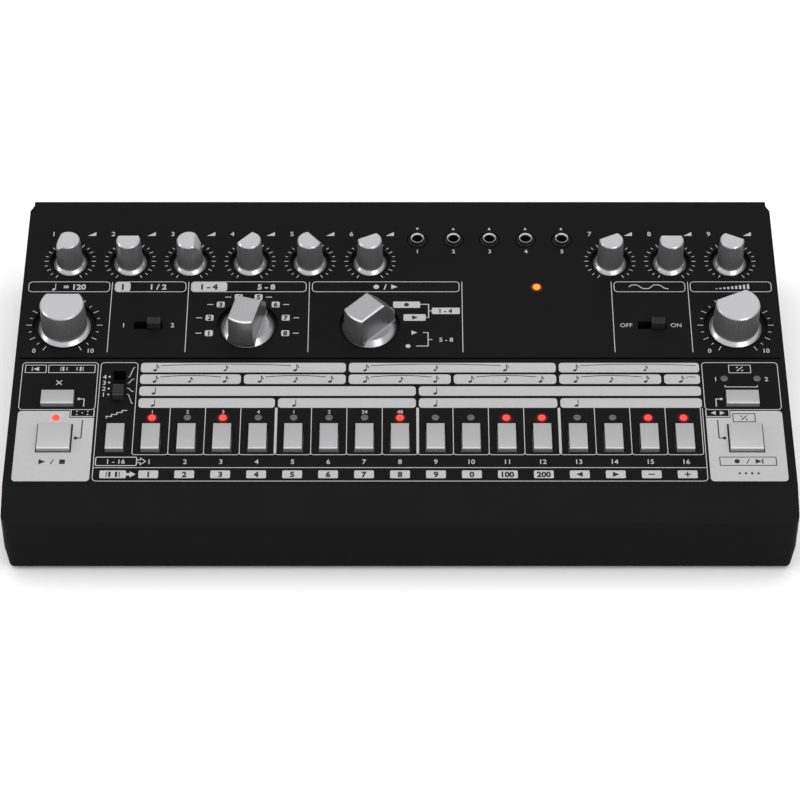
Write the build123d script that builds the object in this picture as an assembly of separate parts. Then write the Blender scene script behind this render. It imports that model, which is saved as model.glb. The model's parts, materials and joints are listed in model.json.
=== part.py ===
from build123d import *
import os
from math import atan2, cos, degrees, radians, sin, tan

# Analogue drum machine with a sloped control panel. Millimetres, +Z up, X to the right, Y to the back.
# The origin is on the floor, at the centre of the case. The panel has a frame of its own: u to the right
# from the middle, v up the slope from the crease at the panel's front edge, h out of the panel's surface.

# ---------------------------------------------------------------- case
CASE_WIDTH = 305.0
CASE_DEPTH = 165.0
FOOT_STAND = 0.7            # the feet hold the case this far off the floor
PARTING_Z = 12.3            # seam between the two covers, above the floor
LIP_Z = 27.6                # top of the upright front face
CREASE_Z = 33.6             # where the folded front lip meets the panel
LIP_RUN = 14.5              # depth of the lip, front to back
PANEL_SLOPE = 5.0           # degrees
COVER_WALL = 2.4
CORNER_RADIUS = 3.0
REAR_EDGE_RADIUS = 2.4
SMALLEST_CORNER = 0.6       # plan corners inside the walls
SHOULDER_INSET = 1.5        # the last stretch at the back is this much narrower on each side
SHOULDER_LENGTH = 5.4
BASE_TAPER = 7.0            # degrees, all round under the seam
BASE_EDGE_RADIUS = 2.0
FLOOR_THICKNESS = 2.2
SEAM_TONGUE_WALL = 1.0
SEAM_TONGUE_HEIGHT = 2.0
FIT_GAP = 0.1               # between fixed pieces that slide together

# ---------------------------------------------------------------- panel layout
# Rows are given in v for a panel of this run from front to back, and spread with a deeper or shallower one
LAYOUT_RUN = 150.5
COLUMN_MARGIN = 18.3        # side of the case to the outermost column of knobs
COLUMN_COUNT = 12
SMALL_KNOB_COLUMNS = (0, 1, 2, 3, 4, 5, 9, 10, 11)
JACK_COLUMN = 7             # the panel jacks are centred on this column
SMALL_KNOB_ROW = 116.2
LARGE_KNOB_ROW = 81.55
STEP_ROW_MARGIN = 41.94     # side of the case to the middle of the row's end keys
STEP_KEY_ROW = 22.8
STEP_COUNT = 16
LAMP_ROW = 33.35
WIDE_KEY_ROW = 42.7
GROUP_LAMP_ROW = 53.3
GROUP_LAMP_OFFSET = 6.45
POWER_LAMP_OFFSET = 18.6    # to the right of the panel jacks' middle
POWER_LAMP_ROW = 102.0
JACK_PITCH = 14.75
PANEL_JACK_COUNT = 5
PANEL_JACK_ROW = 128.0
SLIDE_SWITCH_MARGIN = 51.7  # side of the case to the slide switches
SCALE_SWITCH_ROW = 49.9
GROOVE_ROW = 64.1
GROOVE_WIDTH = 0.75
GROOVE_DEPTH = 0.8
GROOVE_MARGIN = 1.7

# ---------------------------------------------------------------- knobs
KNOB_HEIGHT = 12.95         # top of every knob above the panel
KNOB_SINK = 1.4             # the skirts start this far below the panel
CONE_TOP = 0.6
KNOB_BEVEL = 0.55
SMALL_SKIRT_RADIUS = 6.7
SMALL_BASE_RADIUS = 5.45
SMALL_TOP_RADIUS = 4.9
SMALL_FLUTES = 30
SMALL_CHORD = 2.2           # from the axis to the pointer's edge on the top face
LARGE_SKIRT_RADIUS = 10.5
LARGE_BASE_RADIUS = 9.4
LARGE_TOP_RADIUS = 8.8
LARGE_FLUTES = 48
LARGE_CHORD = 5.3
POINTER_SLOPE = 1.5         # drop over run of the pointer's facet
SELECTOR_SKIRT_RADIUS = 10.65
SELECTOR_SHELF_RADIUS = 9.7
SELECTOR_TAIL_RADIUS = 10.2
SELECTOR_CHORD = 3.3
SELECTOR_SLOPE = 1.25
BAR_HALF_WIDTH = 5.0
BAR_FOOT_HALF_WIDTH = 5.7
BAR_SCOOP_HEIGHT = 6.0
WELL_MARGIN_SMALL = 1.45
WELL_MARGIN_LARGE = 2.25
WELL_MARGIN_SELECTOR = 1.65
WELL_CLEARANCE = 0.5        # between the skirt's underside and the well's floor
WELL_FLOOR = 1.6
SHAFT_RADIUS = 3.0
SHAFT_IN_KNOB = 9.0         # top of the shaft above the panel
RUNNING_GAP = 0.05
HUB_WALL = 1.4
KNOB_WALL = 1.3

# Pointer angles at rest, in degrees, clockwise from straight up the panel
SMALL_KNOB_ANGLES = (-95, 0, 90, -45, 50, -25, -25, 0, 25)
LARGE_KNOB_ANGLES = (0, -25)
SELECTOR_COLUMNS = (3, 5)
SELECTOR_ANGLES = (15, 45)

# ---------------------------------------------------------------- keys and lamps
KEY_HEIGHT = 2.0
KEY_TRAVEL = 0.5
STEP_KEY_WIDTH = 7.0
KEY_LENGTH = 12.6
SQUARE_KEY_WIDTH = 12.8
WIDE_KEY_LENGTH = 6.8
KEY_GAP = 0.4
KEY_WALL = 1.0
KEY_BEVEL_RUN = 0.9
KEY_BEVEL_DROP = 0.45
KEY_FLANGE = 0.8
KEY_FLANGE_HEIGHT = 0.8
KEY_FLANGE_PLAY = 0.15
KEY_STEM_SIDE = 3.8
TACT_SIDE = 6.0
TACT_HEIGHT = 3.5
TACT_PLUNGER_SIDE = 3.2
TACT_STAND = 5.0            # board to plunger top
TACT_FLOOR = 0.4
LAMP_RADIUS = 1.45
LAMP_PROUD = 0.3
LAMP_HOLE_GAP = 0.1
LAMP_LENGTH = 5.3
LAMP_SPACER_SIDE = 3.8
LIT_STEPS = (1, 3, 8, 11, 12, 15, 16)

# ---------------------------------------------------------------- slide switches
SLIDE_SLOT_LENGTH = 11.3
SLIDE_SLOT_WIDTH = 4.0
SLIDE_CAP_LENGTH = 5.2
SLIDE_CAP_WIDTH = 3.4
SLIDE_CAP_HEIGHT = 3.1
SLIDE_TRAVEL = 4.9
SCALE_SLOT_LENGTH = 15.3
SCALE_SLOT_WIDTH = 5.1
SCALE_CAP_LENGTH = 5.6
SCALE_CAP_WIDTH = 4.2
SCALE_TRAVEL = 9.15
CAP_SINK = 1.4
CAP_RIBS = 4
CAP_RIB_DEPTH = 0.35
LEVER_WIDTH = 1.8
LEVER_LENGTH = 2.6
SWITCH_BODY_MARGIN = 1.6
SWITCH_BODY_HEIGHT = 5.0
SWITCH_BODY_FLOOR = 1.2
LEVER_PLAY = 0.4

# ---------------------------------------------------------------- parts under the panel
BOARD_DROP = 10.5           # panel surface to the control board's face
BOARD_THICKNESS = 1.6
BOARD_SIDE_GAP = 10.2        # between the cover's wall and the control board
BOARD_FRONT_V = 6.0
BOARD_REAR_V = 136.0
POT_WIDTH = 9.8
POT_LENGTH = 11.0
POT_CLEARANCE = 0.4         # between the potentiometer and the well's underside
SHAFT_HOLE_GAP = 0.5        # between a shaft and the hole in its well's floor
SHAFT_TAIL = 0.9            # the shaft ends this far above the board
ROTARY_SIDE = 20.0
ROTARY_CORNER = 3.0

# Screws, pins, lamps, bosses and cups are prisms with this many flat sides
PIN_SIDES = 12
LENS_SIDES = 16
BOSS_SIDES = 8
CUP_SIDES = 12

# ---------------------------------------------------------------- sockets
JACK_BORE_RADIUS = 1.8
JACK_NOSE_RADIUS = 2.95
JACK_BODY_WIDTH = 9.0
JACK_BODY_LENGTH = 10.5
JACK_NUT_RADIUS = 3.8
JACK_NUT_HEIGHT = 1.7
JACK_NUT_BEVEL = 0.4
JACK_WELL_RADIUS = 4.3
JACK_WELL_DEPTH = 1.2
JACK_PROUD = 0.9
JACK_NUT_PROUD = 0.5
JACK_BACK_WALL = 1.5

# ---------------------------------------------------------------- rear connectors
REAR_PLATE_THICKNESS = 1.6
REAR_PLATE_MARGIN = 9.5     # side of the case to the plate's end
REAR_PLATE_LOW = 6.0
REAR_PLATE_HIGH = 40.0
REAR_WINDOW_OVERLAP = 2.5
REAR_RIB = 1.5
CONNECTOR_BOARD_Z = 13.5    # its upper face, above the floor
CONNECTOR_BOARD_MARGIN = 28.5
CONNECTOR_BOARD_LENGTH = 40.0
CONNECTOR_BOARD_INSET = 2.0
VOICE_JACK_COUNT = 8
VOICE_JACK_GAP = 2.5
VOICE_JACK_NOSE = 2.9       # the nose beyond the plate's inner face
MAIN_JACK_RADIUS = 3.2
MAIN_JACK_NOSE_RADIUS = 4.5
MAIN_JACK_NUT_RADIUS = 6.0
MAIN_JACK_BODY = (15.0, 18.0, 14.5)
MAIN_JACK_NOSE = 3.4
MAIN_JACK_NUT = 1.6
DATA_SOCKET_COUNT = 2
DATA_SOCKET_BODY = (18.0, 13.0, 18.5)
DATA_SOCKET_RADIUS = 6.75
DATA_SOCKET_SLEEVE_RADIUS = 7.6
DATA_SOCKET_DEPTH = 8.0
DATA_SOCKET_NOSE = 2.6
DATA_PIN_RADIUS = 0.8
DATA_PIN_CIRCLE = 4.5
DATA_PIN_DEPTH = 3.0
DATA_PIN_ANGLES = (0, 45, 90, 135, 180)
SQUARE_SOCKET_BODY = (12.0, 16.0, 11.0)
SQUARE_SOCKET_OPENING = (8.6, 7.8)
SQUARE_SOCKET_DEPTH = 12.0
SQUARE_SOCKET_TONGUE = (5.4, 3.0)
SQUARE_SOCKET_TONGUE_RECESS = 5.5
SQUARE_SOCKET_BACK_WALL = 1.0
INLET_BODY = (9.0, 14.0, 11.0)
INLET_MOUTH_RADIUS = 3.2
INLET_MOUTH_DEPTH = 3.0
INLET_BORE_RADIUS = 2.85
INLET_DEPTH = 10.5
INLET_PIN_RADIUS = 1.0
REAR_ROW_LEFT_MARGIN = 13.5  # the connector board's left end to the power switch
REAR_ROW_RIGHT_MARGIN = 3.0
POWER_SWITCH_BODY = (17.0, 7.0, 8.0)
POWER_SLOT = (9.4, 4.0)
POWER_SLIDER = (4.8, 3.4)
POWER_SLIDER_PROUD = 1.9    # beyond the plate's outer face
POWER_TRAVEL = 4.0
CONNECTOR_GAP = 0.3         # between a connector's nose and the plate's hole

# ---------------------------------------------------------------- fasteners, feet, ribs
SCREW_RADIUS = 1.5
SCREW_HEAD_RADIUS = 2.8
SCREW_HEAD_HEIGHT = 1.8
SCREW_LENGTH = 8.0
SCREW_DRIVE_LENGTH = 2.6
SCREW_DRIVE_WIDTH = 0.6
SCREW_DRIVE_DEPTH = 0.9
SCREW_CLEARANCE = 0.2
PILOT_EXTRA = 1.0
CASE_BOSS_RADIUS = 4.0
CASE_BOSS_SIDE_INSET = 8.0   # from the case's outer faces to the bosses
CASE_BOSS_FRONT_INSET = 9.5
CASE_BOSS_REAR_INSET = 10.5
CASE_BOSS_SPLIT_Z = 9.0
BASE_BOSS_RADIUS = 4.75
BASE_BOSS_WEB = 2.2
BOARD_BOSS_RADIUS = 3.5
BOARD_BOSS_REAR_V = 100.0
BOARD_BOSS_FRONT_V = 10.5
BOARD_BOSS_COLUMNS = (0.5, JACK_COLUMN, 10.5)
BOARD_BOSS_FRONT_INSET = 19.9
STANDOFF_RADIUS = 3.5
STANDOFF_SIDE_INSET = 14.0
STANDOFF_INSET = 5.0        # from the connector board's front edge
STANDOFF_SPAN = 18.0        # from the front pair to the rear pair
FOOT_RADIUS = 7.0
FOOT_RECESS = 1.0
FOOT_SIDE_INSET = 24.5
FOOT_END_INSET = 20.5
RIB_THICKNESS = 1.4
RIB_DROP = 5.0
FLOOR_RIB_HEIGHT = 4.0
FLOOR_RIB_MARGIN = 12.0     # from the case's front and back to the ribs' ends
FRONT_RIB_PITCH = 24.0
FRONT_RIB_DEPTH = 6.0

# ---------------------------------------------------------------- ribbon cable
RIBBON_SIDE_INSET = 39.0     # from the connector board's end
RIBBON_WIDTH = 24.0
RIBBON_THICKNESS = 0.9
RIBBON_BEND = 4.0
RIBBON_LOWER_INSET = 9.6     # from the connector board's front edge
RIBBON_RUN = 26.0            # from its upper socket to its lower one
RIBBON_SOCKET = (28.0, 6.0, 6.0)

CUT_PAST = 1.0               # cuts run this far past the face they start from

# ---------------------------------------------------------------- worked out
FRONT_Y = -CASE_DEPTH / 2
REAR_Y = CASE_DEPTH / 2
CREASE_Y = FRONT_Y + LIP_RUN
PANEL = Location((0, CREASE_Y, CREASE_Z), (PANEL_SLOPE, 0, 0))
ROW_SPREAD = (REAR_Y - CREASE_Y) / LAYOUT_RUN
BASE_Z = FOOT_STAND
BIG = 2 * CASE_WIDTH
WELL_DEPTH = KNOB_SINK + WELL_CLEARANCE
POT_TOP = -(WELL_DEPTH + WELL_FLOOR + POT_CLEARANCE)
BOARD_UNDERSIDE = -(BOARD_DROP + BOARD_THICKNESS)
PLATE_OUTER_Y = REAR_Y - COVER_WALL - FIT_GAP
PLATE_INNER_Y = PLATE_OUTER_Y - REAR_PLATE_THICKNESS
SMALL_WELL_RADIUS = SMALL_SKIRT_RADIUS + WELL_MARGIN_SMALL
LARGE_WELL_RADIUS = LARGE_SKIRT_RADIUS + WELL_MARGIN_LARGE
SELECTOR_WELL_RADIUS = SELECTOR_SKIRT_RADIUS + WELL_MARGIN_SELECTOR
BOARD_HALF_WIDTH = CASE_WIDTH / 2 - COVER_WALL - BOARD_SIDE_GAP
REAR_PLATE_WIDTH = CASE_WIDTH - 2 * REAR_PLATE_MARGIN
CONNECTOR_BOARD_HALF_WIDTH = CASE_WIDTH / 2 - CONNECTOR_BOARD_MARGIN


def column(index):
    """Place along u of a knob column."""
    first = COLUMN_MARGIN - CASE_WIDTH / 2
    return first - 2 * first / (COLUMN_COUNT - 1) * index


def step_u(number):
    """Place along u of a step key, where 0 is the function key beside the first step."""
    half_row = CASE_WIDTH / 2 - STEP_ROW_MARGIN
    return half_row * (2 * number / STEP_COUNT - 1)


def row(v):
    """Place along v of a row, spread to the panel's run."""
    return v * ROW_SPREAD


def rear_row():
    """Places along x of the power switch, the connectors and the first voice jack, with equal gaps between."""
    widths = [POWER_SWITCH_BODY[0], INLET_BODY[0], SQUARE_SOCKET_BODY[0]]
    widths += [DATA_SOCKET_BODY[0]] * DATA_SOCKET_COUNT + [MAIN_JACK_BODY[0]]
    voice_jacks = VOICE_JACK_COUNT * JACK_BODY_WIDTH + (VOICE_JACK_COUNT - 1) * VOICE_JACK_GAP
    room = 2 * CONNECTOR_BOARD_HALF_WIDTH - REAR_ROW_LEFT_MARGIN - REAR_ROW_RIGHT_MARGIN
    gap = (room - sum(widths) - voice_jacks) / len(widths)
    edge = REAR_ROW_LEFT_MARGIN - CONNECTOR_BOARD_HALF_WIDTH
    places = []
    for width in widths + [JACK_BODY_WIDTH]:
        places.append(edge + width / 2)
        edge += width + gap
    return places


LARGE_KNOB_US = (column(0), column(COLUMN_COUNT - 1))
SMALL_KNOBS = [(column(i), row(SMALL_KNOB_ROW)) for i in SMALL_KNOB_COLUMNS]
LARGE_KNOBS = [(u, row(LARGE_KNOB_ROW)) for u in LARGE_KNOB_US]
SELECTORS = [(column(i), row(LARGE_KNOB_ROW)) for i in SELECTOR_COLUMNS]
STEP_KEYS = [(step_u(n), row(STEP_KEY_ROW)) for n in range(STEP_COUNT + 1)]
SQUARE_KEYS = [(u, row(STEP_KEY_ROW)) for u in LARGE_KNOB_US]
WIDE_KEYS = [(u, row(WIDE_KEY_ROW)) for u in LARGE_KNOB_US]
JACK_FIRST = column(JACK_COLUMN) - JACK_PITCH * (PANEL_JACK_COUNT - 1) / 2
PANEL_JACKS = [(JACK_FIRST + JACK_PITCH * i, row(PANEL_JACK_ROW)) for i in range(PANEL_JACK_COUNT)]
SLIDE_SWITCH_U = CASE_WIDTH / 2 - SLIDE_SWITCH_MARGIN
SLIDE_SWITCHES = [(-SLIDE_SWITCH_U, row(LARGE_KNOB_ROW)), (SLIDE_SWITCH_U, row(LARGE_KNOB_ROW))]
SCALE_SWITCH = (step_u(0), row(SCALE_SWITCH_ROW))
STEP_LAMPS = [(step_u(n), row(LAMP_ROW)) for n in range(1, STEP_COUNT + 1)]
START_LAMP = (LARGE_KNOB_US[0], row(LAMP_ROW))
GROUP_LAMPS = [(LARGE_KNOB_US[1] + side * GROUP_LAMP_OFFSET, row(GROUP_LAMP_ROW)) for side in (-1, 1)]
POWER_LAMP = (column(JACK_COLUMN) + POWER_LAMP_OFFSET, row(POWER_LAMP_ROW))
LIT_LAMPS = [START_LAMP] + [STEP_LAMPS[n - 1] for n in LIT_STEPS]
UNLIT_LAMPS = [p for p in STEP_LAMPS if p not in LIT_LAMPS] + GROUP_LAMPS
BOARD_BOSSES = [(column(i), row(BOARD_BOSS_REAR_V)) for i in BOARD_BOSS_COLUMNS]
BOARD_BOSSES += [(side * (BOARD_HALF_WIDTH - BOARD_BOSS_FRONT_INSET), row(BOARD_BOSS_FRONT_V))
                 for side in (-1, 0, 1)]
CASE_BOSS_X = CASE_WIDTH / 2 - CASE_BOSS_SIDE_INSET
CASE_BOSS_FRONT_Y = FRONT_Y + CASE_BOSS_FRONT_INSET
CASE_BOSSES = [(0, CASE_BOSS_FRONT_Y)]
CASE_BOSSES += [(x, y) for x in (-CASE_BOSS_X, CASE_BOSS_X)
                for y in (CASE_BOSS_FRONT_Y, 0, REAR_Y - CASE_BOSS_REAR_INSET)]
CONNECTOR_BOARD_REAR_Y = PLATE_INNER_Y - CONNECTOR_BOARD_INSET
CONNECTOR_BOARD_FRONT_Y = CONNECTOR_BOARD_REAR_Y - CONNECTOR_BOARD_LENGTH
STANDOFF_FRONT_Y = CONNECTOR_BOARD_FRONT_Y + STANDOFF_INSET
STANDOFF_X = CONNECTOR_BOARD_HALF_WIDTH - STANDOFF_SIDE_INSET
STANDOFFS = [(x, y) for x in (-STANDOFF_X, STANDOFF_X)
             for y in (STANDOFF_FRONT_Y, STANDOFF_FRONT_Y + STANDOFF_SPAN)]
POWER_SWITCH_X, INLET_X, SQUARE_SOCKET_X, *DATA_SOCKET_X, MAIN_JACK_X, VOICE_JACK_FIRST = rear_row()
VOICE_JACK_XS = [VOICE_JACK_FIRST + (JACK_BODY_WIDTH + VOICE_JACK_GAP) * i for i in range(VOICE_JACK_COUNT)]
FOOT_X = CASE_WIDTH / 2 - FOOT_SIDE_INSET
FOOT_Y = CASE_DEPTH / 2 - FOOT_END_INSET
RIBBON_X = RIBBON_SIDE_INSET - CONNECTOR_BOARD_HALF_WIDTH
RIBBON_LOWER_Y = CONNECTOR_BOARD_FRONT_Y + RIBBON_LOWER_INSET
RIBBON_UPPER_Y = RIBBON_LOWER_Y - RIBBON_RUN
FEET = [(x, y) for x in (-FOOT_X, FOOT_X) for y in (-FOOT_Y, FOOT_Y)]


# ---------------------------------------------------------------- helpers
def block(width, length, low, high, at=(0, 0), radius=0):
    """Upright block between two heights, centred on a point, with its corners rounded by a radius."""
    outline = RectangleRounded(width, length, radius) if radius else Rectangle(width, length)
    return Pos(at[0], at[1], low) * extrude(outline, high - low)


def post(radius, low, high, at=(0, 0)):
    """Upright cylinder between two heights."""
    return Pos(at[0], at[1], low) * extrude(Circle(radius), high - low)


def prism(radius, sides, low, high, at=(0, 0)):
    """Upright post with flat sides that stand at the given radius."""
    outline = RegularPolygon(radius, sides, major_radius=False)
    return Pos(at[0], at[1], low) * extrude(outline, high - low)


def turned(points):
    """Solid of revolution about the upright axis from (radius, height) points."""
    return revolve(Plane.XZ * make_face(Polyline(*points, close=True)), Axis.Z)


def side_prism(points, width):
    """Prism across X from (y, z) points."""
    return extrude(Plane.YZ * make_face(Polyline(*points, close=True)), width / 2, both=True)


def to_back(shape, x, z, y=PLATE_INNER_Y):
    """Stands an upright shape so that its top faces the back, with its base plane on the given y."""
    return Pos(x, y, z) * Rot(-90, 0, 0) * shape


def on_panel(shape, at, turn=0):
    """Moves a shape made about the panel's origin to a place on the panel, turned clockwise in degrees."""
    return PANEL * Pos(at[0], at[1], 0) * Rot(0, 0, -turn) * shape


def cut_all(body, tools):
    """The body with every tool taken out of it."""
    return body.cut(*tools) if tools else body


# ---------------------------------------------------------------- covers
def plan_outline(inset=0.0):
    """Plan of the case with its narrower shoulder at the back, set in all round."""
    half = CASE_WIDTH / 2 - inset
    narrow = half - SHOULDER_INSET
    shoulder_y = REAR_Y - SHOULDER_LENGTH
    front, rear = FRONT_Y + inset, REAR_Y - inset
    radius = max(CORNER_RADIUS - inset, SMALLEST_CORNER)
    outline = make_face(Polyline(
        (-half, front), (half, front), (half, shoulder_y - SHOULDER_INSET),
        (narrow, shoulder_y + SHOULDER_INSET), (narrow, rear), (-narrow, rear),
        (-narrow, shoulder_y + SHOULDER_INSET), (-half, shoulder_y - SHOULDER_INSET), close=True))
    return fillet(outline.vertices().sort_by(Axis.Y)[:2], radius)


def side_outline(low_z):
    """Profile of the case seen from the side, from a height up: front face, lip, panel and back."""
    rear_z = CREASE_Z + (REAR_Y - CREASE_Y) * tan(radians(PANEL_SLOPE))
    outline = make_face(Polyline(
        (FRONT_Y, low_z), (FRONT_Y, LIP_Z), (CREASE_Y, CREASE_Z), (REAR_Y, rear_z), (REAR_Y, low_z),
        close=True))
    rear_corner = outline.vertices().sort_by_distance((REAR_Y, rear_z))[0]
    return fillet(rear_corner, REAR_EDGE_RADIUS)


def outer_form(low_z):
    """Solid outer form of the case from a height up."""
    profile = extrude(Plane.YZ * side_outline(low_z), CASE_WIDTH / 2, both=True)
    plan = extrude(plan_outline(), BIG)
    return profile & plan


def inner_form():
    """The space inside the covers' walls above the seam, open below."""
    profile = offset(side_outline(-BIG / 2), -COVER_WALL, kind=Kind.INTERSECTION)
    across = extrude(Plane.YZ * profile, CASE_WIDTH / 2 - COVER_WALL, both=True)
    plan = Pos(0, 0, -BIG / 2) * extrude(plan_outline(COVER_WALL), BIG)
    return across & plan


def well(radius):
    """Round recess for a knob, with the hole for its shaft."""
    shaft_hole = prism(SHAFT_RADIUS + SHAFT_HOLE_GAP, PIN_SIDES, POT_TOP - CUT_PAST, CUT_PAST)
    return [post(radius, -WELL_DEPTH, CUT_PAST), shaft_hole]


def well_cup(radius):
    """Boss under the panel that forms a well's floor and wall."""
    return prism(radius + WELL_FLOOR, CUP_SIDES, -(WELL_DEPTH + WELL_FLOOR), -COVER_WALL / 2)


def top_cover():
    cover = outer_form(PARTING_Z) - inner_form()
    wells = [(at, SMALL_WELL_RADIUS) for at in SMALL_KNOBS]
    wells += [(at, LARGE_WELL_RADIUS) for at in LARGE_KNOBS]
    wells += [(at, SELECTOR_WELL_RADIUS) for at in SELECTORS]
    jack_floor = JACK_WELL_DEPTH + WELL_FLOOR

    added = [on_panel(well_cup(radius), at) for at, radius in wells]
    added += [on_panel(prism(JACK_WELL_RADIUS + WELL_FLOOR, CUP_SIDES, -jack_floor, -COVER_WALL / 2), at)
              for at in PANEL_JACKS]
    added += [on_panel(prism(BOARD_BOSS_RADIUS, BOSS_SIDES, -BOARD_DROP, -COVER_WALL / 2), at)
              for at in BOARD_BOSSES]
    form = outer_form(CASE_BOSS_SPLIT_Z)
    added += [prism(CASE_BOSS_RADIUS, BOSS_SIDES, CASE_BOSS_SPLIT_Z, CREASE_Z + BIG, at) & form
              for at in CASE_BOSSES]
    added += [rib & form for rib in cover_ribs()]
    cover = cover.fuse(*added)

    removed = []
    for at, radius in wells:
        removed += [on_panel(tool, at) for tool in well(radius)]
    for at in PANEL_JACKS:
        removed.append(on_panel(post(JACK_WELL_RADIUS, -JACK_WELL_DEPTH, CUT_PAST), at))
        removed.append(on_panel(post(JACK_NOSE_RADIUS + FIT_GAP, -BOARD_DROP, CUT_PAST), at))
    for at in STEP_KEYS:
        removed.append(on_panel(key_opening(STEP_KEY_WIDTH, KEY_LENGTH), at))
    for at in SQUARE_KEYS:
        removed.append(on_panel(key_opening(SQUARE_KEY_WIDTH, KEY_LENGTH), at))
    for at in WIDE_KEYS:
        removed.append(on_panel(key_opening(SQUARE_KEY_WIDTH, WIDE_KEY_LENGTH), at))
    through = (-COVER_WALL - CUT_PAST, CUT_PAST)
    for at in LIT_LAMPS + UNLIT_LAMPS + [POWER_LAMP]:
        removed.append(on_panel(prism(LAMP_RADIUS + LAMP_HOLE_GAP, LENS_SIDES, *through), at))
    for at in SLIDE_SWITCHES:
        removed.append(on_panel(block(SLIDE_SLOT_LENGTH, SLIDE_SLOT_WIDTH, *through), at))
    removed.append(on_panel(block(SCALE_SLOT_WIDTH, SCALE_SLOT_LENGTH, *through), SCALE_SWITCH))
    groove_length = CASE_WIDTH - 2 * GROOVE_MARGIN
    removed.append(on_panel(block(groove_length, GROOVE_WIDTH, -GROOVE_DEPTH, CUT_PAST), (0, row(GROOVE_ROW))))
    pilot = SCREW_LENGTH + PILOT_EXTRA
    for at in BOARD_BOSSES:
        top = BOARD_UNDERSIDE + pilot
        removed.append(on_panel(prism(SCREW_RADIUS, PIN_SIDES, -BOARD_DROP - CUT_PAST, top), at))
    for at in CASE_BOSSES:
        low = CASE_BOSS_SPLIT_Z - BASE_BOSS_WEB
        removed.append(prism(SCREW_RADIUS, PIN_SIDES, low, low + pilot, at))
    removed.append(rear_window(CASE_BOSS_SPLIT_Z - CUT_PAST, REAR_PLATE_HIGH - REAR_WINDOW_OVERLAP))
    return cut_all(cover, removed)


def key_opening(width, length):
    """Opening in the panel for a key cap, with its gap all round."""
    return block(width + 2 * KEY_GAP, length + 2 * KEY_GAP, -COVER_WALL - CUT_PAST, CUT_PAST)


def rear_window(low, high):
    """Opening in the covers' back wall in front of which the rear plate stands."""
    width = REAR_PLATE_WIDTH - 2 * REAR_WINDOW_OVERLAP
    return Pos(0, REAR_Y - COVER_WALL / 2, (low + high) / 2) * Box(width, 3 * COVER_WALL, high - low)


def cover_ribs():
    """Ribs inside the top cover: behind the rear plate, across the panel, in front and beside the bosses."""
    high = CREASE_Z + BIG / 4
    stop_y = PLATE_INNER_Y - FIT_GAP - REAR_RIB / 2
    ribs = [block(REAR_PLATE_WIDTH, REAR_RIB, REAR_PLATE_HIGH - REAR_WINDOW_OVERLAP, high, (0, stop_y))]
    ribs.append(on_panel(block(2 * BOARD_HALF_WIDTH, RIB_THICKNESS, -RIB_DROP, 0), (0, row(GROOVE_ROW))))
    low = PARTING_Z + 2 * SEAM_TONGUE_HEIGHT
    wall_y = FRONT_Y + COVER_WALL / 2
    count = int(CASE_BOSS_X // FRONT_RIB_PITCH)
    for i in range(-count, count + 1):
        x = FRONT_RIB_PITCH * i
        ribs.append(block(RIB_THICKNESS, FRONT_RIB_DEPTH, low, high, (x, wall_y + FRONT_RIB_DEPTH / 2)))
    for x, y in CASE_BOSSES:
        if x:
            wall_x = CASE_WIDTH / 2 - COVER_WALL / 2
            middle = (abs(x) + wall_x) / 2
            side = x / abs(x)
            ribs.append(block(wall_x - abs(x), RIB_THICKNESS, low, high, (side * middle, y)))
    return ribs


def ring_wall(outer_inset, inner_inset, low, high):
    """Wall that follows the plan of the case between two insets."""
    wall = extrude(plan_outline(outer_inset), high - low) - extrude(plan_outline(inner_inset), high - low)
    return Pos(0, 0, low) * wall


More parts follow.
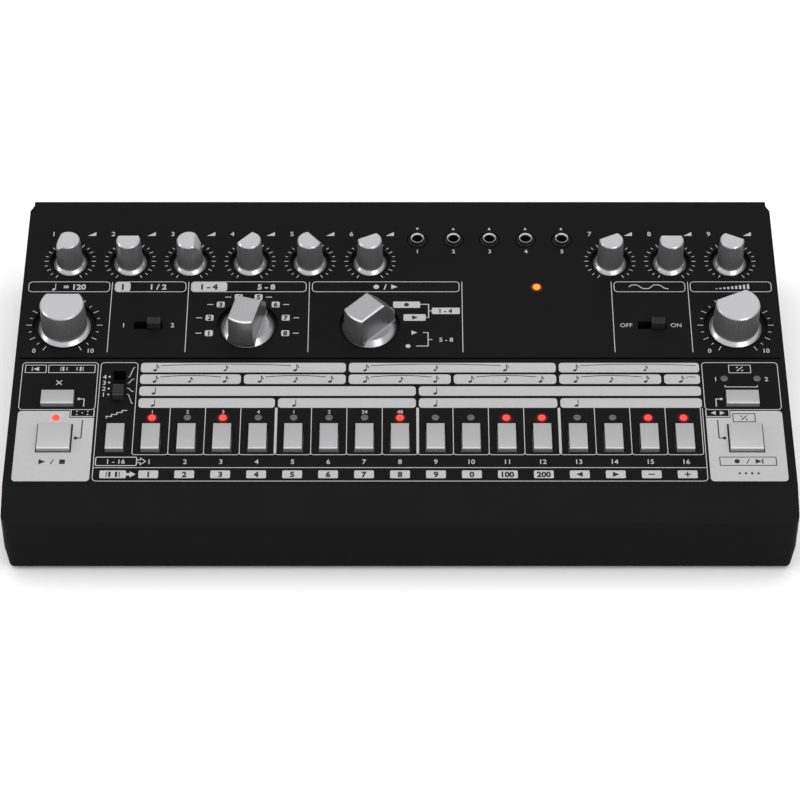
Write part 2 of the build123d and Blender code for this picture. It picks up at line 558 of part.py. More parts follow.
def bottom_cover():
    height = PARTING_Z - BASE_Z
    shell = Pos(0, 0, PARTING_Z) * extrude(plan_outline(), -height, taper=BASE_TAPER)
    shell = fillet(shell.faces().sort_by(Axis.Z)[0].edges(), BASE_EDGE_RADIUS)
    inside_depth = height - FLOOR_THICKNESS
    inside = Pos(0, 0, PARTING_Z) * extrude(plan_outline(COVER_WALL), -inside_depth, taper=BASE_TAPER)
    cover = shell - inside
    tongue_outer = COVER_WALL + FIT_GAP
    tongue_inner = tongue_outer + SEAM_TONGUE_WALL
    ledge = ring_wall(COVER_WALL / 2, tongue_inner, PARTING_Z - SEAM_TONGUE_HEIGHT, PARTING_Z)
    tongue = ring_wall(tongue_outer, tongue_inner, PARTING_Z, PARTING_Z + SEAM_TONGUE_HEIGHT)
    web_low = CASE_BOSS_SPLIT_Z - BASE_BOSS_WEB
    solid_form = Pos(0, 0, PARTING_Z) * extrude(plan_outline(COVER_WALL / 2), -height, taper=BASE_TAPER)
    floor = BASE_Z + FLOOR_THICKNESS / 2

    added = [ledge, tongue]
    added += [prism(BASE_BOSS_RADIUS, BOSS_SIDES, floor, CASE_BOSS_SPLIT_Z, at) & solid_form
              for at in CASE_BOSSES]
    added += [prism(STANDOFF_RADIUS, BOSS_SIDES, floor, CONNECTOR_BOARD_Z - BOARD_THICKNESS, at)
              for at in STANDOFFS]
    rib_y = PLATE_INNER_Y - FIT_GAP - REAR_RIB / 2
    rib_high = REAR_PLATE_LOW + REAR_WINDOW_OVERLAP
    added.append(block(REAR_PLATE_WIDTH, REAR_RIB, floor, rib_high, (0, rib_y)))
    for x in (-FOOT_X, 0, FOOT_X):
        added.append(block(RIB_THICKNESS, CASE_DEPTH - 2 * FLOOR_RIB_MARGIN, floor,
                           floor + FLOOR_RIB_HEIGHT, (x, 0)))
    cover = cover.fuse(*added)

    removed = []
    for at in CASE_BOSSES:
        removed.append(prism(SCREW_HEAD_RADIUS + 2 * SCREW_CLEARANCE, LENS_SIDES, 0, web_low, at))
        removed.append(prism(SCREW_RADIUS + SCREW_CLEARANCE, PIN_SIDES, 0, CASE_BOSS_SPLIT_Z + CUT_PAST, at))
        boss_gap = 2 * (CASE_BOSS_RADIUS + FIT_GAP)
        removed.append(block(boss_gap, boss_gap, CASE_BOSS_SPLIT_Z, PARTING_Z + BIG, at))
    for at in FEET:
        removed.append(post(FOOT_RADIUS, 0, BASE_Z + FOOT_RECESS, at))
    for at in STANDOFFS:
        pilot_low = CONNECTOR_BOARD_Z - SCREW_LENGTH - PILOT_EXTRA / 2
        removed.append(prism(SCREW_RADIUS, PIN_SIDES, pilot_low, CONNECTOR_BOARD_Z, at))
    removed.append(rear_window(REAR_PLATE_LOW + REAR_WINDOW_OVERLAP, PARTING_Z + BIG))
    slot_low = REAR_PLATE_LOW
    removed.append(Pos(0, (PLATE_INNER_Y + PLATE_OUTER_Y) / 2, slot_low + BIG / 2)
                   * Box(REAR_PLATE_WIDTH + 2 * FIT_GAP, REAR_PLATE_THICKNESS + 2 * FIT_GAP, BIG))
    return cut_all(cover, removed)


# ---------------------------------------------------------------- knobs and their shafts
def pointer_cut(chord, slope, reach):
    """Sloping cut that makes a knob's pointer facet, on the side away from the front."""
    top = KNOB_HEIGHT
    return side_prism([(chord, top), (chord + reach, top - slope * reach), (chord + reach, top + CUT_PAST),
                       (chord, top + CUT_PAST)], 4 * reach)


def shaft_bore():
    """Bore of a knob for its splined shaft."""
    return post(SHAFT_RADIUS, -KNOB_SINK - CUT_PAST, SHAFT_IN_KNOB)


def knob_shaft():
    """Metal shaft from inside the potentiometer up to the end of the knob's bore."""
    return post(SHAFT_RADIUS, -(BOARD_DROP - SHAFT_TAIL), SHAFT_IN_KNOB)


def fluted_taper(low_radius, high_radius, flutes, low, high):
    """Tapered post with a flat side for each flute."""
    draft = degrees(atan2(low_radius - high_radius, high - low))
    outline = RegularPolygon(low_radius, flutes, major_radius=False)
    return Pos(0, 0, low) * extrude(outline, high - low, taper=draft)


def round_knob(skirt, base, top, chord, flutes):
    """Knob with a bevelled skirt, flutes all round its tapered grip and a pointer facet."""
    low = -KNOB_SINK
    crown_low = KNOB_HEIGHT - KNOB_BEVEL
    knob = fluted_taper(skirt, base, flutes, low, CONE_TOP)
    knob += fluted_taper(base, top, flutes, CONE_TOP, crown_low)
    knob += fluted_taper(top, top - KNOB_BEVEL, flutes, crown_low, KNOB_HEIGHT)
    knob -= pointer_cut(chord, POINTER_SLOPE, skirt)
    hub = SHAFT_RADIUS + HUB_WALL
    if base - KNOB_WALL > hub + KNOB_WALL:
        inner = base - KNOB_WALL
        hollow_top = KNOB_HEIGHT - POINTER_SLOPE * (inner - chord) - 2 * KNOB_WALL
        knob -= post(inner, low, hollow_top) - post(hub, low, hollow_top)
    return knob - shaft_bore()


def selector_knob():
    """Disc with a bevelled rim and a raised pointer bar, scooped at both sides."""
    low = -KNOB_SINK
    disc = turned([(0, low), (SELECTOR_SKIRT_RADIUS, low), (SELECTOR_SHELF_RADIUS, CONE_TOP), (0, CONE_TOP)])
    tower = turned([(0, low), (SELECTOR_SKIRT_RADIUS, low), (SELECTOR_TAIL_RADIUS, KNOB_HEIGHT - KNOB_BEVEL),
                    (SELECTOR_TAIL_RADIUS - KNOB_BEVEL, KNOB_HEIGHT), (0, KNOB_HEIGHT)])
    top = KNOB_HEIGHT
    right = [
        Line((BAR_FOOT_HALF_WIDTH, low), (BAR_FOOT_HALF_WIDTH, CONE_TOP)),
        TangentArc((BAR_HALF_WIDTH, BAR_SCOOP_HEIGHT), (BAR_FOOT_HALF_WIDTH, CONE_TOP), tangent=(0, -1)),
        Polyline((BAR_HALF_WIDTH, BAR_SCOOP_HEIGHT), (BAR_HALF_WIDTH, top - KNOB_BEVEL),
                 (BAR_HALF_WIDTH - KNOB_BEVEL, top), (0, top))]
    right += [Line((0, top), (0, low)), Line((0, low), (BAR_FOOT_HALF_WIDTH, low))]
    half_section = make_face(Curve() + right)
    section = half_section + mirror(half_section, Plane.YZ)
    bar = extrude(Plane.XZ * section, SELECTOR_SKIRT_RADIUS, both=True) & tower
    knob = disc + (bar - pointer_cut(SELECTOR_CHORD, SELECTOR_SLOPE, SELECTOR_SKIRT_RADIUS))
    hub = SHAFT_RADIUS + HUB_WALL
    pocket_width = 2 * (BAR_HALF_WIDTH - KNOB_WALL)
    pocket_end = SELECTOR_TAIL_RADIUS - 1.5 * KNOB_WALL
    tail_pocket = block(pocket_width, pocket_end - hub, low, SHAFT_IN_KNOB, (0, -(hub + pocket_end) / 2))
    return knob - tail_pocket - shaft_bore()


# ---------------------------------------------------------------- keys, lamps and switches
def key_cap(width, length):
    """Hollow key cap with a bevelled front edge, a retaining flange and a centre stem."""
    flange_top = -(COVER_WALL + KEY_FLANGE_PLAY)
    low = flange_top - KEY_FLANGE_HEIGHT
    half = length / 2
    cap = side_prism([(-half, low), (-half, KEY_HEIGHT - KEY_BEVEL_DROP), (-half + KEY_BEVEL_RUN, KEY_HEIGHT),
                      (half, KEY_HEIGHT), (half, low)], width)
    cap += block(width + 2 * KEY_FLANGE, length + 2 * KEY_FLANGE, low, flange_top)
    cap -= block(width - 2 * KEY_WALL, length - 2 * KEY_WALL, low, KEY_HEIGHT - KEY_WALL)
    return cap + block(KEY_STEM_SIDE, KEY_STEM_SIDE, -(BOARD_DROP - TACT_STAND), KEY_HEIGHT - KEY_WALL)


def tact_plunger():
    """Plunger that stands in a tact switch and carries a key."""
    low = -BOARD_DROP + TACT_FLOOR + KEY_TRAVEL + TACT_FLOOR
    return block(TACT_PLUNGER_SIDE, TACT_PLUNGER_SIDE, low, -(BOARD_DROP - TACT_STAND))


def tact_body():
    """Square switch body on the board, open on top for its plunger."""
    body = block(TACT_SIDE, TACT_SIDE, -BOARD_DROP, -BOARD_DROP + TACT_HEIGHT)
    opening = TACT_PLUNGER_SIDE + 2 * RUNNING_GAP
    return body - block(opening, opening, -BOARD_DROP + TACT_FLOOR, 0)


def key_with_plunger(width, length):
    return [key_cap(width, length), tact_plunger()]


def lamp():
    """Indicator lamp on the square spacer that holds it up to the panel."""
    lens = prism(LAMP_RADIUS, LENS_SIDES, -LAMP_LENGTH, LAMP_PROUD)
    return lens + block(LAMP_SPACER_SIDE, LAMP_SPACER_SIDE, -BOARD_DROP, -LAMP_LENGTH)


def ribbed_cap(length, width):
    """Slide switch cap with cross ribs on top."""
    cap = block(length, width, -CAP_SINK, SLIDE_CAP_HEIGHT)
    pitch = length / (CAP_RIBS + 1)
    for i in range(CAP_RIBS):
        x = pitch * (i + 1) - length / 2
        cap -= block(pitch / 2, width, SLIDE_CAP_HEIGHT - CAP_RIB_DEPTH, SLIDE_CAP_HEIGHT + CUT_PAST, (x, 0))
    lever_top = SLIDE_CAP_HEIGHT - 2 * CAP_RIB_DEPTH - CAP_SINK
    return cap - block(LEVER_LENGTH, LEVER_WIDTH, -CAP_SINK, lever_top)


def lever():
    """Slide switch lever, from inside its body up into the cap."""
    low = -BOARD_DROP + SWITCH_BODY_FLOOR + LEVER_PLAY
    return block(LEVER_LENGTH, LEVER_WIDTH, low, SLIDE_CAP_HEIGHT - 2 * CAP_RIB_DEPTH - CAP_SINK)


def slide_body(travel):
    """Slide switch body on the board, with the lever's track."""
    length = LEVER_LENGTH + travel + 2 * SWITCH_BODY_MARGIN + 2 * LEVER_PLAY
    width = LEVER_WIDTH + 2 * SWITCH_BODY_MARGIN + 2 * LEVER_PLAY
    body = block(length, width, -BOARD_DROP, -BOARD_DROP + SWITCH_BODY_HEIGHT)
    track = block(LEVER_LENGTH + travel + 2 * LEVER_PLAY, LEVER_WIDTH + 2 * LEVER_PLAY,
                  -BOARD_DROP + SWITCH_BODY_FLOOR, 0)
    return body - track


def potentiometer():
    """Board-mounted potentiometer with the bearing that its shaft turns in."""
    body = block(POT_WIDTH, POT_LENGTH, -BOARD_DROP, POT_TOP)
    return body - post(SHAFT_RADIUS + RUNNING_GAP, -BOARD_DROP + SHAFT_TAIL / 2, 0)


def rotary_switch():
    """Rotary switch body, a square with its corners cut off."""
    corners = 2 * ROTARY_SIDE - ROTARY_CORNER
    body = block(ROTARY_SIDE, ROTARY_SIDE, -BOARD_DROP, POT_TOP)
    body &= Rot(0, 0, 45) * block(corners / 2 ** 0.5, corners / 2 ** 0.5, -BOARD_DROP, POT_TOP)
    return body - post(SHAFT_RADIUS + RUNNING_GAP, -BOARD_DROP + SHAFT_TAIL / 2, 0)


# ---------------------------------------------------------------- sockets and connectors
def small_jack(body_top, nose_top):
    """Jack socket body with its round nose, mouth up, standing on a plane at height 0 of its own."""
    body = block(JACK_BODY_WIDTH, JACK_BODY_LENGTH, 0, body_top) + post(JACK_NOSE_RADIUS, body_top, nose_top)
    return body - post(JACK_BORE_RADIUS, JACK_BACK_WALL, nose_top)


def jack_nut(radius, bore, low, height):
    """Round nut with a bevelled edge."""
    return turned([(bore, low), (radius, low), (radius, low + height - JACK_NUT_BEVEL),
                   (radius - JACK_NUT_BEVEL, low + height), (bore, low + height)])


def panel_jack():
    body_top = BOARD_DROP - JACK_WELL_DEPTH - WELL_FLOOR - POT_CLEARANCE
    jack = Pos(0, 0, -BOARD_DROP) * small_jack(body_top, BOARD_DROP + JACK_PROUD)
    nut_low = JACK_NUT_PROUD - JACK_NUT_HEIGHT
    return [jack, jack_nut(JACK_NUT_RADIUS, JACK_NOSE_RADIUS, nut_low, JACK_NUT_HEIGHT)]


def voice_jack():
    """Jack for the back, made with its mouth up and the rear plate's inner face at height 0."""
    reach = JACK_BODY_LENGTH + JACK_BACK_WALL
    return Pos(0, 0, -reach) * small_jack(reach, reach + VOICE_JACK_NOSE)


def main_output_jack():
    width, reach, height = MAIN_JACK_BODY
    body = block(width, height, -reach, 0)
    body += post(MAIN_JACK_NOSE_RADIUS, 0, MAIN_JACK_NOSE)
    body -= post(MAIN_JACK_RADIUS, -reach + JACK_BACK_WALL, MAIN_JACK_NOSE)
    return [body, jack_nut(MAIN_JACK_NUT_RADIUS, MAIN_JACK_NOSE_RADIUS, REAR_PLATE_THICKNESS, MAIN_JACK_NUT)]


def data_socket():
    """Round five-pole socket: sleeve, deep recess, contact holes on an arc in its floor."""
    width, reach, height = DATA_SOCKET_BODY
    body = block(width, height, -reach, 0) + post(DATA_SOCKET_SLEEVE_RADIUS, 0, DATA_SOCKET_NOSE)
    body -= post(DATA_SOCKET_RADIUS, DATA_SOCKET_NOSE - DATA_SOCKET_DEPTH, DATA_SOCKET_NOSE)
    floor = DATA_SOCKET_NOSE - DATA_SOCKET_DEPTH
    for angle in DATA_PIN_ANGLES:
        at = (DATA_PIN_CIRCLE * cos(radians(angle)), DATA_PIN_CIRCLE * sin(radians(angle)))
        body -= prism(DATA_PIN_RADIUS, PIN_SIDES, floor - DATA_PIN_DEPTH, floor, at)
    return body


def square_socket():
    """Square data socket with its contact tongue set back."""
    width, reach, height = SQUARE_SOCKET_BODY
    nose = REAR_PLATE_THICKNESS / 2
    body = block(width, height, -reach, nose)
    body -= block(*SQUARE_SOCKET_OPENING, nose - SQUARE_SOCKET_DEPTH, nose)
    return body + block(*SQUARE_SOCKET_TONGUE, -reach + SQUARE_SOCKET_BACK_WALL, nose - SQUARE_SOCKET_TONGUE_RECESS)


def power_inlet():
    """Barrel inlet with a wider mouth and a centre pin."""
    width, reach, height = INLET_BODY
    nose = REAR_PLATE_THICKNESS / 2
    body = block(width, height, -reach, nose)
    body -= post(INLET_MOUTH_RADIUS, nose - INLET_MOUTH_DEPTH, nose)
    body -= post(INLET_BORE_RADIUS, nose - INLET_DEPTH, nose)
    return body + post(INLET_PIN_RADIUS, nose - INLET_DEPTH, nose - INLET_MOUTH_DEPTH)


def power_switch():
    """Slide switch body behind the rear plate."""
    width, reach, height = POWER_SWITCH_BODY
    body = block(width, height, -reach, 0)
    return body - block(LEVER_LENGTH + POWER_TRAVEL + 2 * LEVER_PLAY, LEVER_WIDTH + 2 * LEVER_PLAY,
                        -reach + SWITCH_BODY_FLOOR, 0)


def power_slider():
    """Ribbed slider outside the plate with its lever reaching into the switch."""
    reach = POWER_SWITCH_BODY[1]
    high = REAR_PLATE_THICKNESS + POWER_SLIDER_PROUD
    knob = block(*POWER_SLIDER, LEVER_PLAY, high)
    for side in (-1, 0, 1):
        x = side * POWER_SLIDER[0] / 4
        knob -= block(LEVER_PLAY, POWER_SLIDER[1], high - CAP_RIB_DEPTH, high + CUT_PAST, (x, 0))
    return knob + block(LEVER_LENGTH, LEVER_WIDTH, -reach + SWITCH_BODY_FLOOR + LEVER_PLAY, LEVER_PLAY)


def axis_z(height):
    """Height of the axis of a connector of a given height that stands on the connector board."""
    return CONNECTOR_BOARD_Z + height / 2


def rear_plate():
    middle = (REAR_PLATE_LOW + REAR_PLATE_HIGH) / 2
    plate = Pos(0, (PLATE_INNER_Y + PLATE_OUTER_Y) / 2, middle) \
        * Box(REAR_PLATE_WIDTH, REAR_PLATE_THICKNESS, REAR_PLATE_HIGH - REAR_PLATE_LOW)
    through = REAR_PLATE_THICKNESS + CUT_PAST
    nose_hole = prism(JACK_NOSE_RADIUS + CONNECTOR_GAP, LENS_SIDES, -CUT_PAST, through)
    holes = [to_back(nose_hole, x, axis_z(JACK_BODY_LENGTH))
             for x in VOICE_JACK_XS]
    holes.append(to_back(post(MAIN_JACK_NOSE_RADIUS + CONNECTOR_GAP, -CUT_PAST, through), MAIN_JACK_X,
                         axis_z(MAIN_JACK_BODY[2])))
    holes += [to_back(post(DATA_SOCKET_SLEEVE_RADIUS + CONNECTOR_GAP, -CUT_PAST, through), x,
                      axis_z(DATA_SOCKET_BODY[2])) for x in DATA_SOCKET_X]
    for (width, _, height), x in ((SQUARE_SOCKET_BODY, SQUARE_SOCKET_X), (INLET_BODY, INLET_X)):
        opening = block(width + 2 * CONNECTOR_GAP, height + 2 * CONNECTOR_GAP, -CUT_PAST, through)
        holes.append(to_back(opening, x, axis_z(height)))
    holes.append(to_back(block(*POWER_SLOT, -CUT_PAST, through), POWER_SWITCH_X, axis_z(POWER_SWITCH_BODY[2])))
    return cut_all(plate, holes)


# ---------------------------------------------------------------- boards, cable, fasteners, feet
def control_board():
    length = row(BOARD_REAR_V) - row(BOARD_FRONT_V)
    middle = (row(BOARD_FRONT_V) + row(BOARD_REAR_V)) / 2
    board = block(2 * BOARD_HALF_WIDTH, length, BOARD_UNDERSIDE, -BOARD_DROP, (0, middle))
    holes = [prism(SCREW_RADIUS + SCREW_CLEARANCE, PIN_SIDES, BOARD_UNDERSIDE - CUT_PAST, 0, at)
             for at in BOARD_BOSSES]
    return PANEL * cut_all(board, holes)


def connector_board():
    middle = (CONNECTOR_BOARD_FRONT_Y + CONNECTOR_BOARD_REAR_Y) / 2
    board = block(2 * CONNECTOR_BOARD_HALF_WIDTH, CONNECTOR_BOARD_LENGTH,
                  CONNECTOR_BOARD_Z - BOARD_THICKNESS, CONNECTOR_BOARD_Z, (0, middle))
    holes = [prism(SCREW_RADIUS + SCREW_CLEARANCE, PIN_SIDES, 0, BIG, at) for at in STANDOFFS]
    return cut_all(board, holes)


def ribbon_cable():
    """Flat ribbon from the control board's underside to the connector board, with a socket at each end."""
    length, width, height = RIBBON_SOCKET
    upper_v = (RIBBON_UPPER_Y - CREASE_Y) / cos(radians(PANEL_SLOPE))
    upper = PANEL * block(length, width, BOARD_UNDERSIDE - height, BOARD_UNDERSIDE, (RIBBON_X, upper_v))
    lower = block(length, width, CONNECTOR_BOARD_Z, CONNECTOR_BOARD_Z + height, (RIBBON_X, RIBBON_LOWER_Y))
    run_z = upper.center().Z
    start_y = upper.bounding_box().max.Y
    end_z = CONNECTOR_BOARD_Z + height
    half = RIBBON_THICKNESS / 2
    inner_corner = (RIBBON_LOWER_Y - half, run_z - half)
    outer_corner = (RIBBON_LOWER_Y + half, run_z + half)
    strip = make_face(Polyline(
        (start_y, run_z + half), outer_corner, (RIBBON_LOWER_Y + half, end_z), (RIBBON_LOWER_Y - half, end_z),
        inner_corner, (start_y, run_z - half), close=True))
    strip = fillet(strip.vertices().sort_by_distance(inner_corner)[0], RIBBON_BEND - half)
    strip = fillet(strip.vertices().sort_by_distance(outer_corner)[0], RIBBON_BEND + half)
    cable = Pos(RIBBON_X, 0, 0) * extrude(Plane.YZ * strip, RIBBON_WIDTH / 2, both=True)
    return [cable, upper, lower]


def screw():
    """Self-tapping screw, head down, its bearing face at height 0 and its shank upwards."""
    head = prism(SCREW_HEAD_RADIUS, PIN_SIDES, -SCREW_HEAD_HEIGHT, 0)
    low = -SCREW_HEAD_HEIGHT
    drive = block(SCREW_DRIVE_LENGTH, SCREW_DRIVE_WIDTH, low, low + SCREW_DRIVE_DEPTH)
    return head - drive - Rot(0, 0, 90) * drive + prism(SCREW_RADIUS, PIN_SIDES, 0, SCREW_LENGTH)


def screws():
    model = screw()
    low = CASE_BOSS_SPLIT_Z - BASE_BOSS_WEB
    found = [Pos(x, y, low) * model for x, y in CASE_BOSSES]
    found += [PANEL * Pos(u, v, BOARD_UNDERSIDE) * model for u, v in BOARD_BOSSES]
    found += [Pos(x, y, CONNECTOR_BOARD_Z) * Rot(180, 0, 0) * model for x, y in STANDOFFS]
    return found


def foot():
    return post(FOOT_RADIUS, 0, FOOT_STAND + FOOT_RECESS)


# ---------------------------------------------------------------- assembly
def build_nodes():
    """Every sub-part by its node name, as a list of solids."""
    nodes = {
        "top_cover": [top_cover()],
        "bottom_cover": [bottom_cover()],
        "rear_plate": [rear_plate()],
        "control_board": [control_board()],
        "connector_board": [connector_board()],
        "ribbon_cable": ribbon_cable(),
        "screws": screws(),
        "rubber_feet": [Pos(x, y, 0) * foot() for x, y in FEET],
        "potentiometers": [on_panel(potentiometer(), at) for at in SMALL_KNOBS + LARGE_KNOBS],
        "rotary_switches": [on_panel(rotary_switch(), at) for at in SELECTORS],
        "tact_switches": [on_panel(tact_body(), at) for at in STEP_KEYS + SQUARE_KEYS + WIDE_KEYS],
        "lamps_lit": [on_panel(lamp(), at) for at in LIT_LAMPS],
        "lamps_unlit": [on_panel(lamp(), at) for at in UNLIT_LAMPS],
        "power_lamp": [on_panel(lamp(), POWER_LAMP)],
        "panel_jacks": [on_panel(piece, at) for at in PANEL_JACKS for piece in panel_jack()],
        "slide_switches": [on_panel(slide_body(SLIDE_TRAVEL), at) for at in SLIDE_SWITCHES]
        + [on_panel(slide_body(SCALE_TRAVEL), SCALE_SWITCH, 90)],
        "voice_jacks": [to_back(voice_jack(), x, axis_z(JACK_BODY_LENGTH)) for x in VOICE_JACK_XS],
        "main_output_jack": [to_back(piece, MAIN_JACK_X, axis_z(MAIN_JACK_BODY[2]))
                             for piece in main_output_jack()],
        "data_sockets": [to_back(data_socket(), x, axis_z(DATA_SOCKET_BODY[2])) for x in DATA_SOCKET_X],
        "square_data_socket": [to_back(square_socket(), SQUARE_SOCKET_X, axis_z(SQUARE_SOCKET_BODY[2]))],
        "power_inlet": [to_back(power_inlet(), INLET_X, axis_z(INLET_BODY[2]))],
        "power_switch": [to_back(power_switch(), POWER_SWITCH_X, axis_z(POWER_SWITCH_BODY[2]))],
    }
    small = [round_knob(SMALL_SKIRT_RADIUS, SMALL_BASE_RADIUS, SMALL_TOP_RADIUS, SMALL_CHORD, SMALL_FLUTES),
             knob_shaft()]
    large = [round_knob(LARGE_SKIRT_RADIUS, LARGE_BASE_RADIUS, LARGE_TOP_RADIUS, LARGE_CHORD, LARGE_FLUTES),
             knob_shaft()]
    selector = [selector_knob(), knob_shaft()]
    for number, (at, turn) in enumerate(zip(SMALL_KNOBS, SMALL_KNOB_ANGLES), 1):
        nodes[f"level_knob_{number}"] = [on_panel(piece, at, turn) for piece in small]
    for name, at, turn in zip(("tempo_knob", "volume_knob"), LARGE_KNOBS, LARGE_KNOB_ANGLES):
        nodes[name] = [on_panel(piece, at, turn) for piece in large]
    for name, at, turn in zip(("instrument_selector", "mode_selector"), SELECTORS, SELECTOR_ANGLES):
        nodes[name] = [on_panel(piece, at, turn) for piece in selector]

    step_key = key_with_plunger(STEP_KEY_WIDTH, KEY_LENGTH)
    for number, at in enumerate(STEP_KEYS):
        name = f"step_key_{number:02d}" if number else "function_key"
        nodes[name] = [on_panel(piece, at) for piece in step_key]
    square_key = key_with_plunger(SQUARE_KEY_WIDTH, KEY_LENGTH)
    for name, at in zip(("start_key", "write_key"), SQUARE_KEYS):
        nodes[name] = [on_panel(piece, at) for piece in square_key]
    wide_key = key_with_plunger(SQUARE_KEY_WIDTH, WIDE_KEY_LENGTH)
    for name, at in zip(("clear_key", "group_key"), WIDE_KEYS):
        nodes[name] = [on_panel(piece, at) for piece in wide_key]

    cap = [ribbed_cap(SLIDE_CAP_LENGTH, SLIDE_CAP_WIDTH), lever()]
    for name, (u, v) in zip(("tone_slider", "drive_slider"), SLIDE_SWITCHES):
        nodes[name] = [on_panel(piece, (u + SLIDE_TRAVEL / 2, v)) for piece in cap]
    scale_cap = [ribbed_cap(SCALE_CAP_LENGTH, SCALE_CAP_WIDTH), lever()]
    nodes["scale_slider"] = [on_panel(piece, (SCALE_SWITCH[0], SCALE_SWITCH[1] - SCALE_TRAVEL / 2), 90)
                             for piece in scale_cap]
    nodes["power_slider"] = [to_back(power_slider(), POWER_SWITCH_X + POWER_TRAVEL / 2,
                                     axis_z(POWER_SWITCH_BODY[2]))]
    return nodes


def write_parts():
    os.makedirs("parts", exist_ok=True)
    for name, pieces in build_nodes().items():
        solids = [solid for piece in pieces for solid in piece.solids()]
        export_step(Compound(children=solids) if len(solids) > 1 else solids[0], f"parts/{name}.step")


write_parts()
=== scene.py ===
"""Looks of a desktop drum machine: moulded case, printed panel, knobs, keys, lamps and sockets."""
import json
import math
from types import SimpleNamespace

import bmesh
import bpy
from mathutils import Matrix, Vector

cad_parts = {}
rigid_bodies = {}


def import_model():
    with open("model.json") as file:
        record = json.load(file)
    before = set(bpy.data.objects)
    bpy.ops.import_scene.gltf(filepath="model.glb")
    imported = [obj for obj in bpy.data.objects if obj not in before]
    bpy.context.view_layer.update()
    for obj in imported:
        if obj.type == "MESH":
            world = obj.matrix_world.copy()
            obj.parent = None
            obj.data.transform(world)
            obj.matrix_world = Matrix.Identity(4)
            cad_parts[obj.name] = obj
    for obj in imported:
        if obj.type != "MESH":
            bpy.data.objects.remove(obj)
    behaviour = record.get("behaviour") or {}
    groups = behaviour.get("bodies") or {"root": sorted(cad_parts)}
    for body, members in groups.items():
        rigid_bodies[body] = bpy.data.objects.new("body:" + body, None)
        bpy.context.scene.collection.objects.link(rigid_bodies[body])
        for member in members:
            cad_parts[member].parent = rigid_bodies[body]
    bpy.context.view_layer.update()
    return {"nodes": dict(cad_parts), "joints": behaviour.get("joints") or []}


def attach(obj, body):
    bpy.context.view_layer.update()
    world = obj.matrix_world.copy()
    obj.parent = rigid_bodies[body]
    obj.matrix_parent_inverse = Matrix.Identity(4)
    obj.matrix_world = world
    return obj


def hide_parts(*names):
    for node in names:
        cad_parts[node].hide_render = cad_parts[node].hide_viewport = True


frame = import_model()
NODES = frame["nodes"]
JOINTS = {joint["child"]: joint for joint in frame["joints"]}

MM = 0.001
TO_METRES = Matrix.Scale(MM, 4)
AS_IT_IS = TO_METRES.inverted()  # a place that leaves a shape in its own units

# -------------------- the panel and what stands on it
PANEL_SLOPE = math.radians(5.0)
CREASE_Y = -68.0  # front edge of the sloped panel
CREASE_Z = 33.6
PANEL = Matrix.Translation((0, CREASE_Y, CREASE_Z)) @ Matrix.Rotation(PANEL_SLOPE, 4, "X")

STEP_PITCH = 13.82
STEP_AT_CENTRE = 8  # this step key stands on the panel's middle line
STEP_COUNT = 16
END_COLUMN = 134.2  # the outermost knobs and the square keys stand this far from the middle
JACK_FIRST = 7.1
JACK_PITCH = 14.75
JACK_COUNT = 5
JACK_ROW = 128.0

KNOB_TOP = 12.95  # every knob's top above the panel
KNOB_SINK = 1.4  # the skirts start this far below the panel
SKIRT_TOP = -0.05  # where a round knob's bevelled skirt meets its grip
SHELF_TOP = 0.55  # top of a selector's disc
GRIP_TOP = 12.35


def on_panel(u, v, h=0.0):
    """Placing matrix, in millimetres, of a spot on the panel: across, up from the crease, and out."""
    return PANEL @ Matrix.Translation((u, v, h))


def panel_place(node):
    """(across, up) in millimetres of a moving node's joint on the panel."""
    spot = PANEL.inverted() @ (Vector(JOINTS[node]["pos_m"]) / MM)
    return spot.x, spot.y


def step_u(number):
    """How far across a step key stands."""
    return STEP_PITCH * (number - STEP_AT_CENTRE)


def new_object(name, data):
    made = bpy.data.objects.new(name, data)
    bpy.context.scene.collection.objects.link(made)
    return made


def bake(*holders):
    """The first passing object's mesh with its modifiers applied. The objects and their data are removed."""
    evaluated = holders[0].evaluated_get(bpy.context.evaluated_depsgraph_get())
    mesh = bpy.data.meshes.new_from_object(evaluated)
    holders[0].modifiers.clear()
    for holder in holders:
        data = holder.data
        bpy.data.objects.remove(holder)
        bpy.data.batch_remove([data])
    return mesh


def absorb(shape, mesh):
    """Adds a passing mesh to a bmesh, and removes the mesh."""
    shape.from_mesh(mesh)
    bpy.data.meshes.remove(mesh)
    return shape


# -------------------- materials
COLOUR_A, COLOUR_B, COLOUR_MIXED = 6, 7, 2  # the colour sockets of a mix node


class Nodes:
    """A node tree, built by calls that add a node and feed its inputs."""

    def __init__(self, tree):
        self.tree = tree

    def add(self, kind, inputs=None, **settings):
        node = self.tree.nodes.new(kind)
        for key, value in settings.items():
            setattr(node, key, value)
        for key, value in (inputs or {}).items():
            self.feed(node.inputs[key], value)
        return node

    def feed(self, socket, value):
        """Links the socket where the value is another node's output, and sets it otherwise."""
        if isinstance(value, bpy.types.NodeSocket):
            self.tree.links.new(value, socket)
        else:
            socket.default_value = value


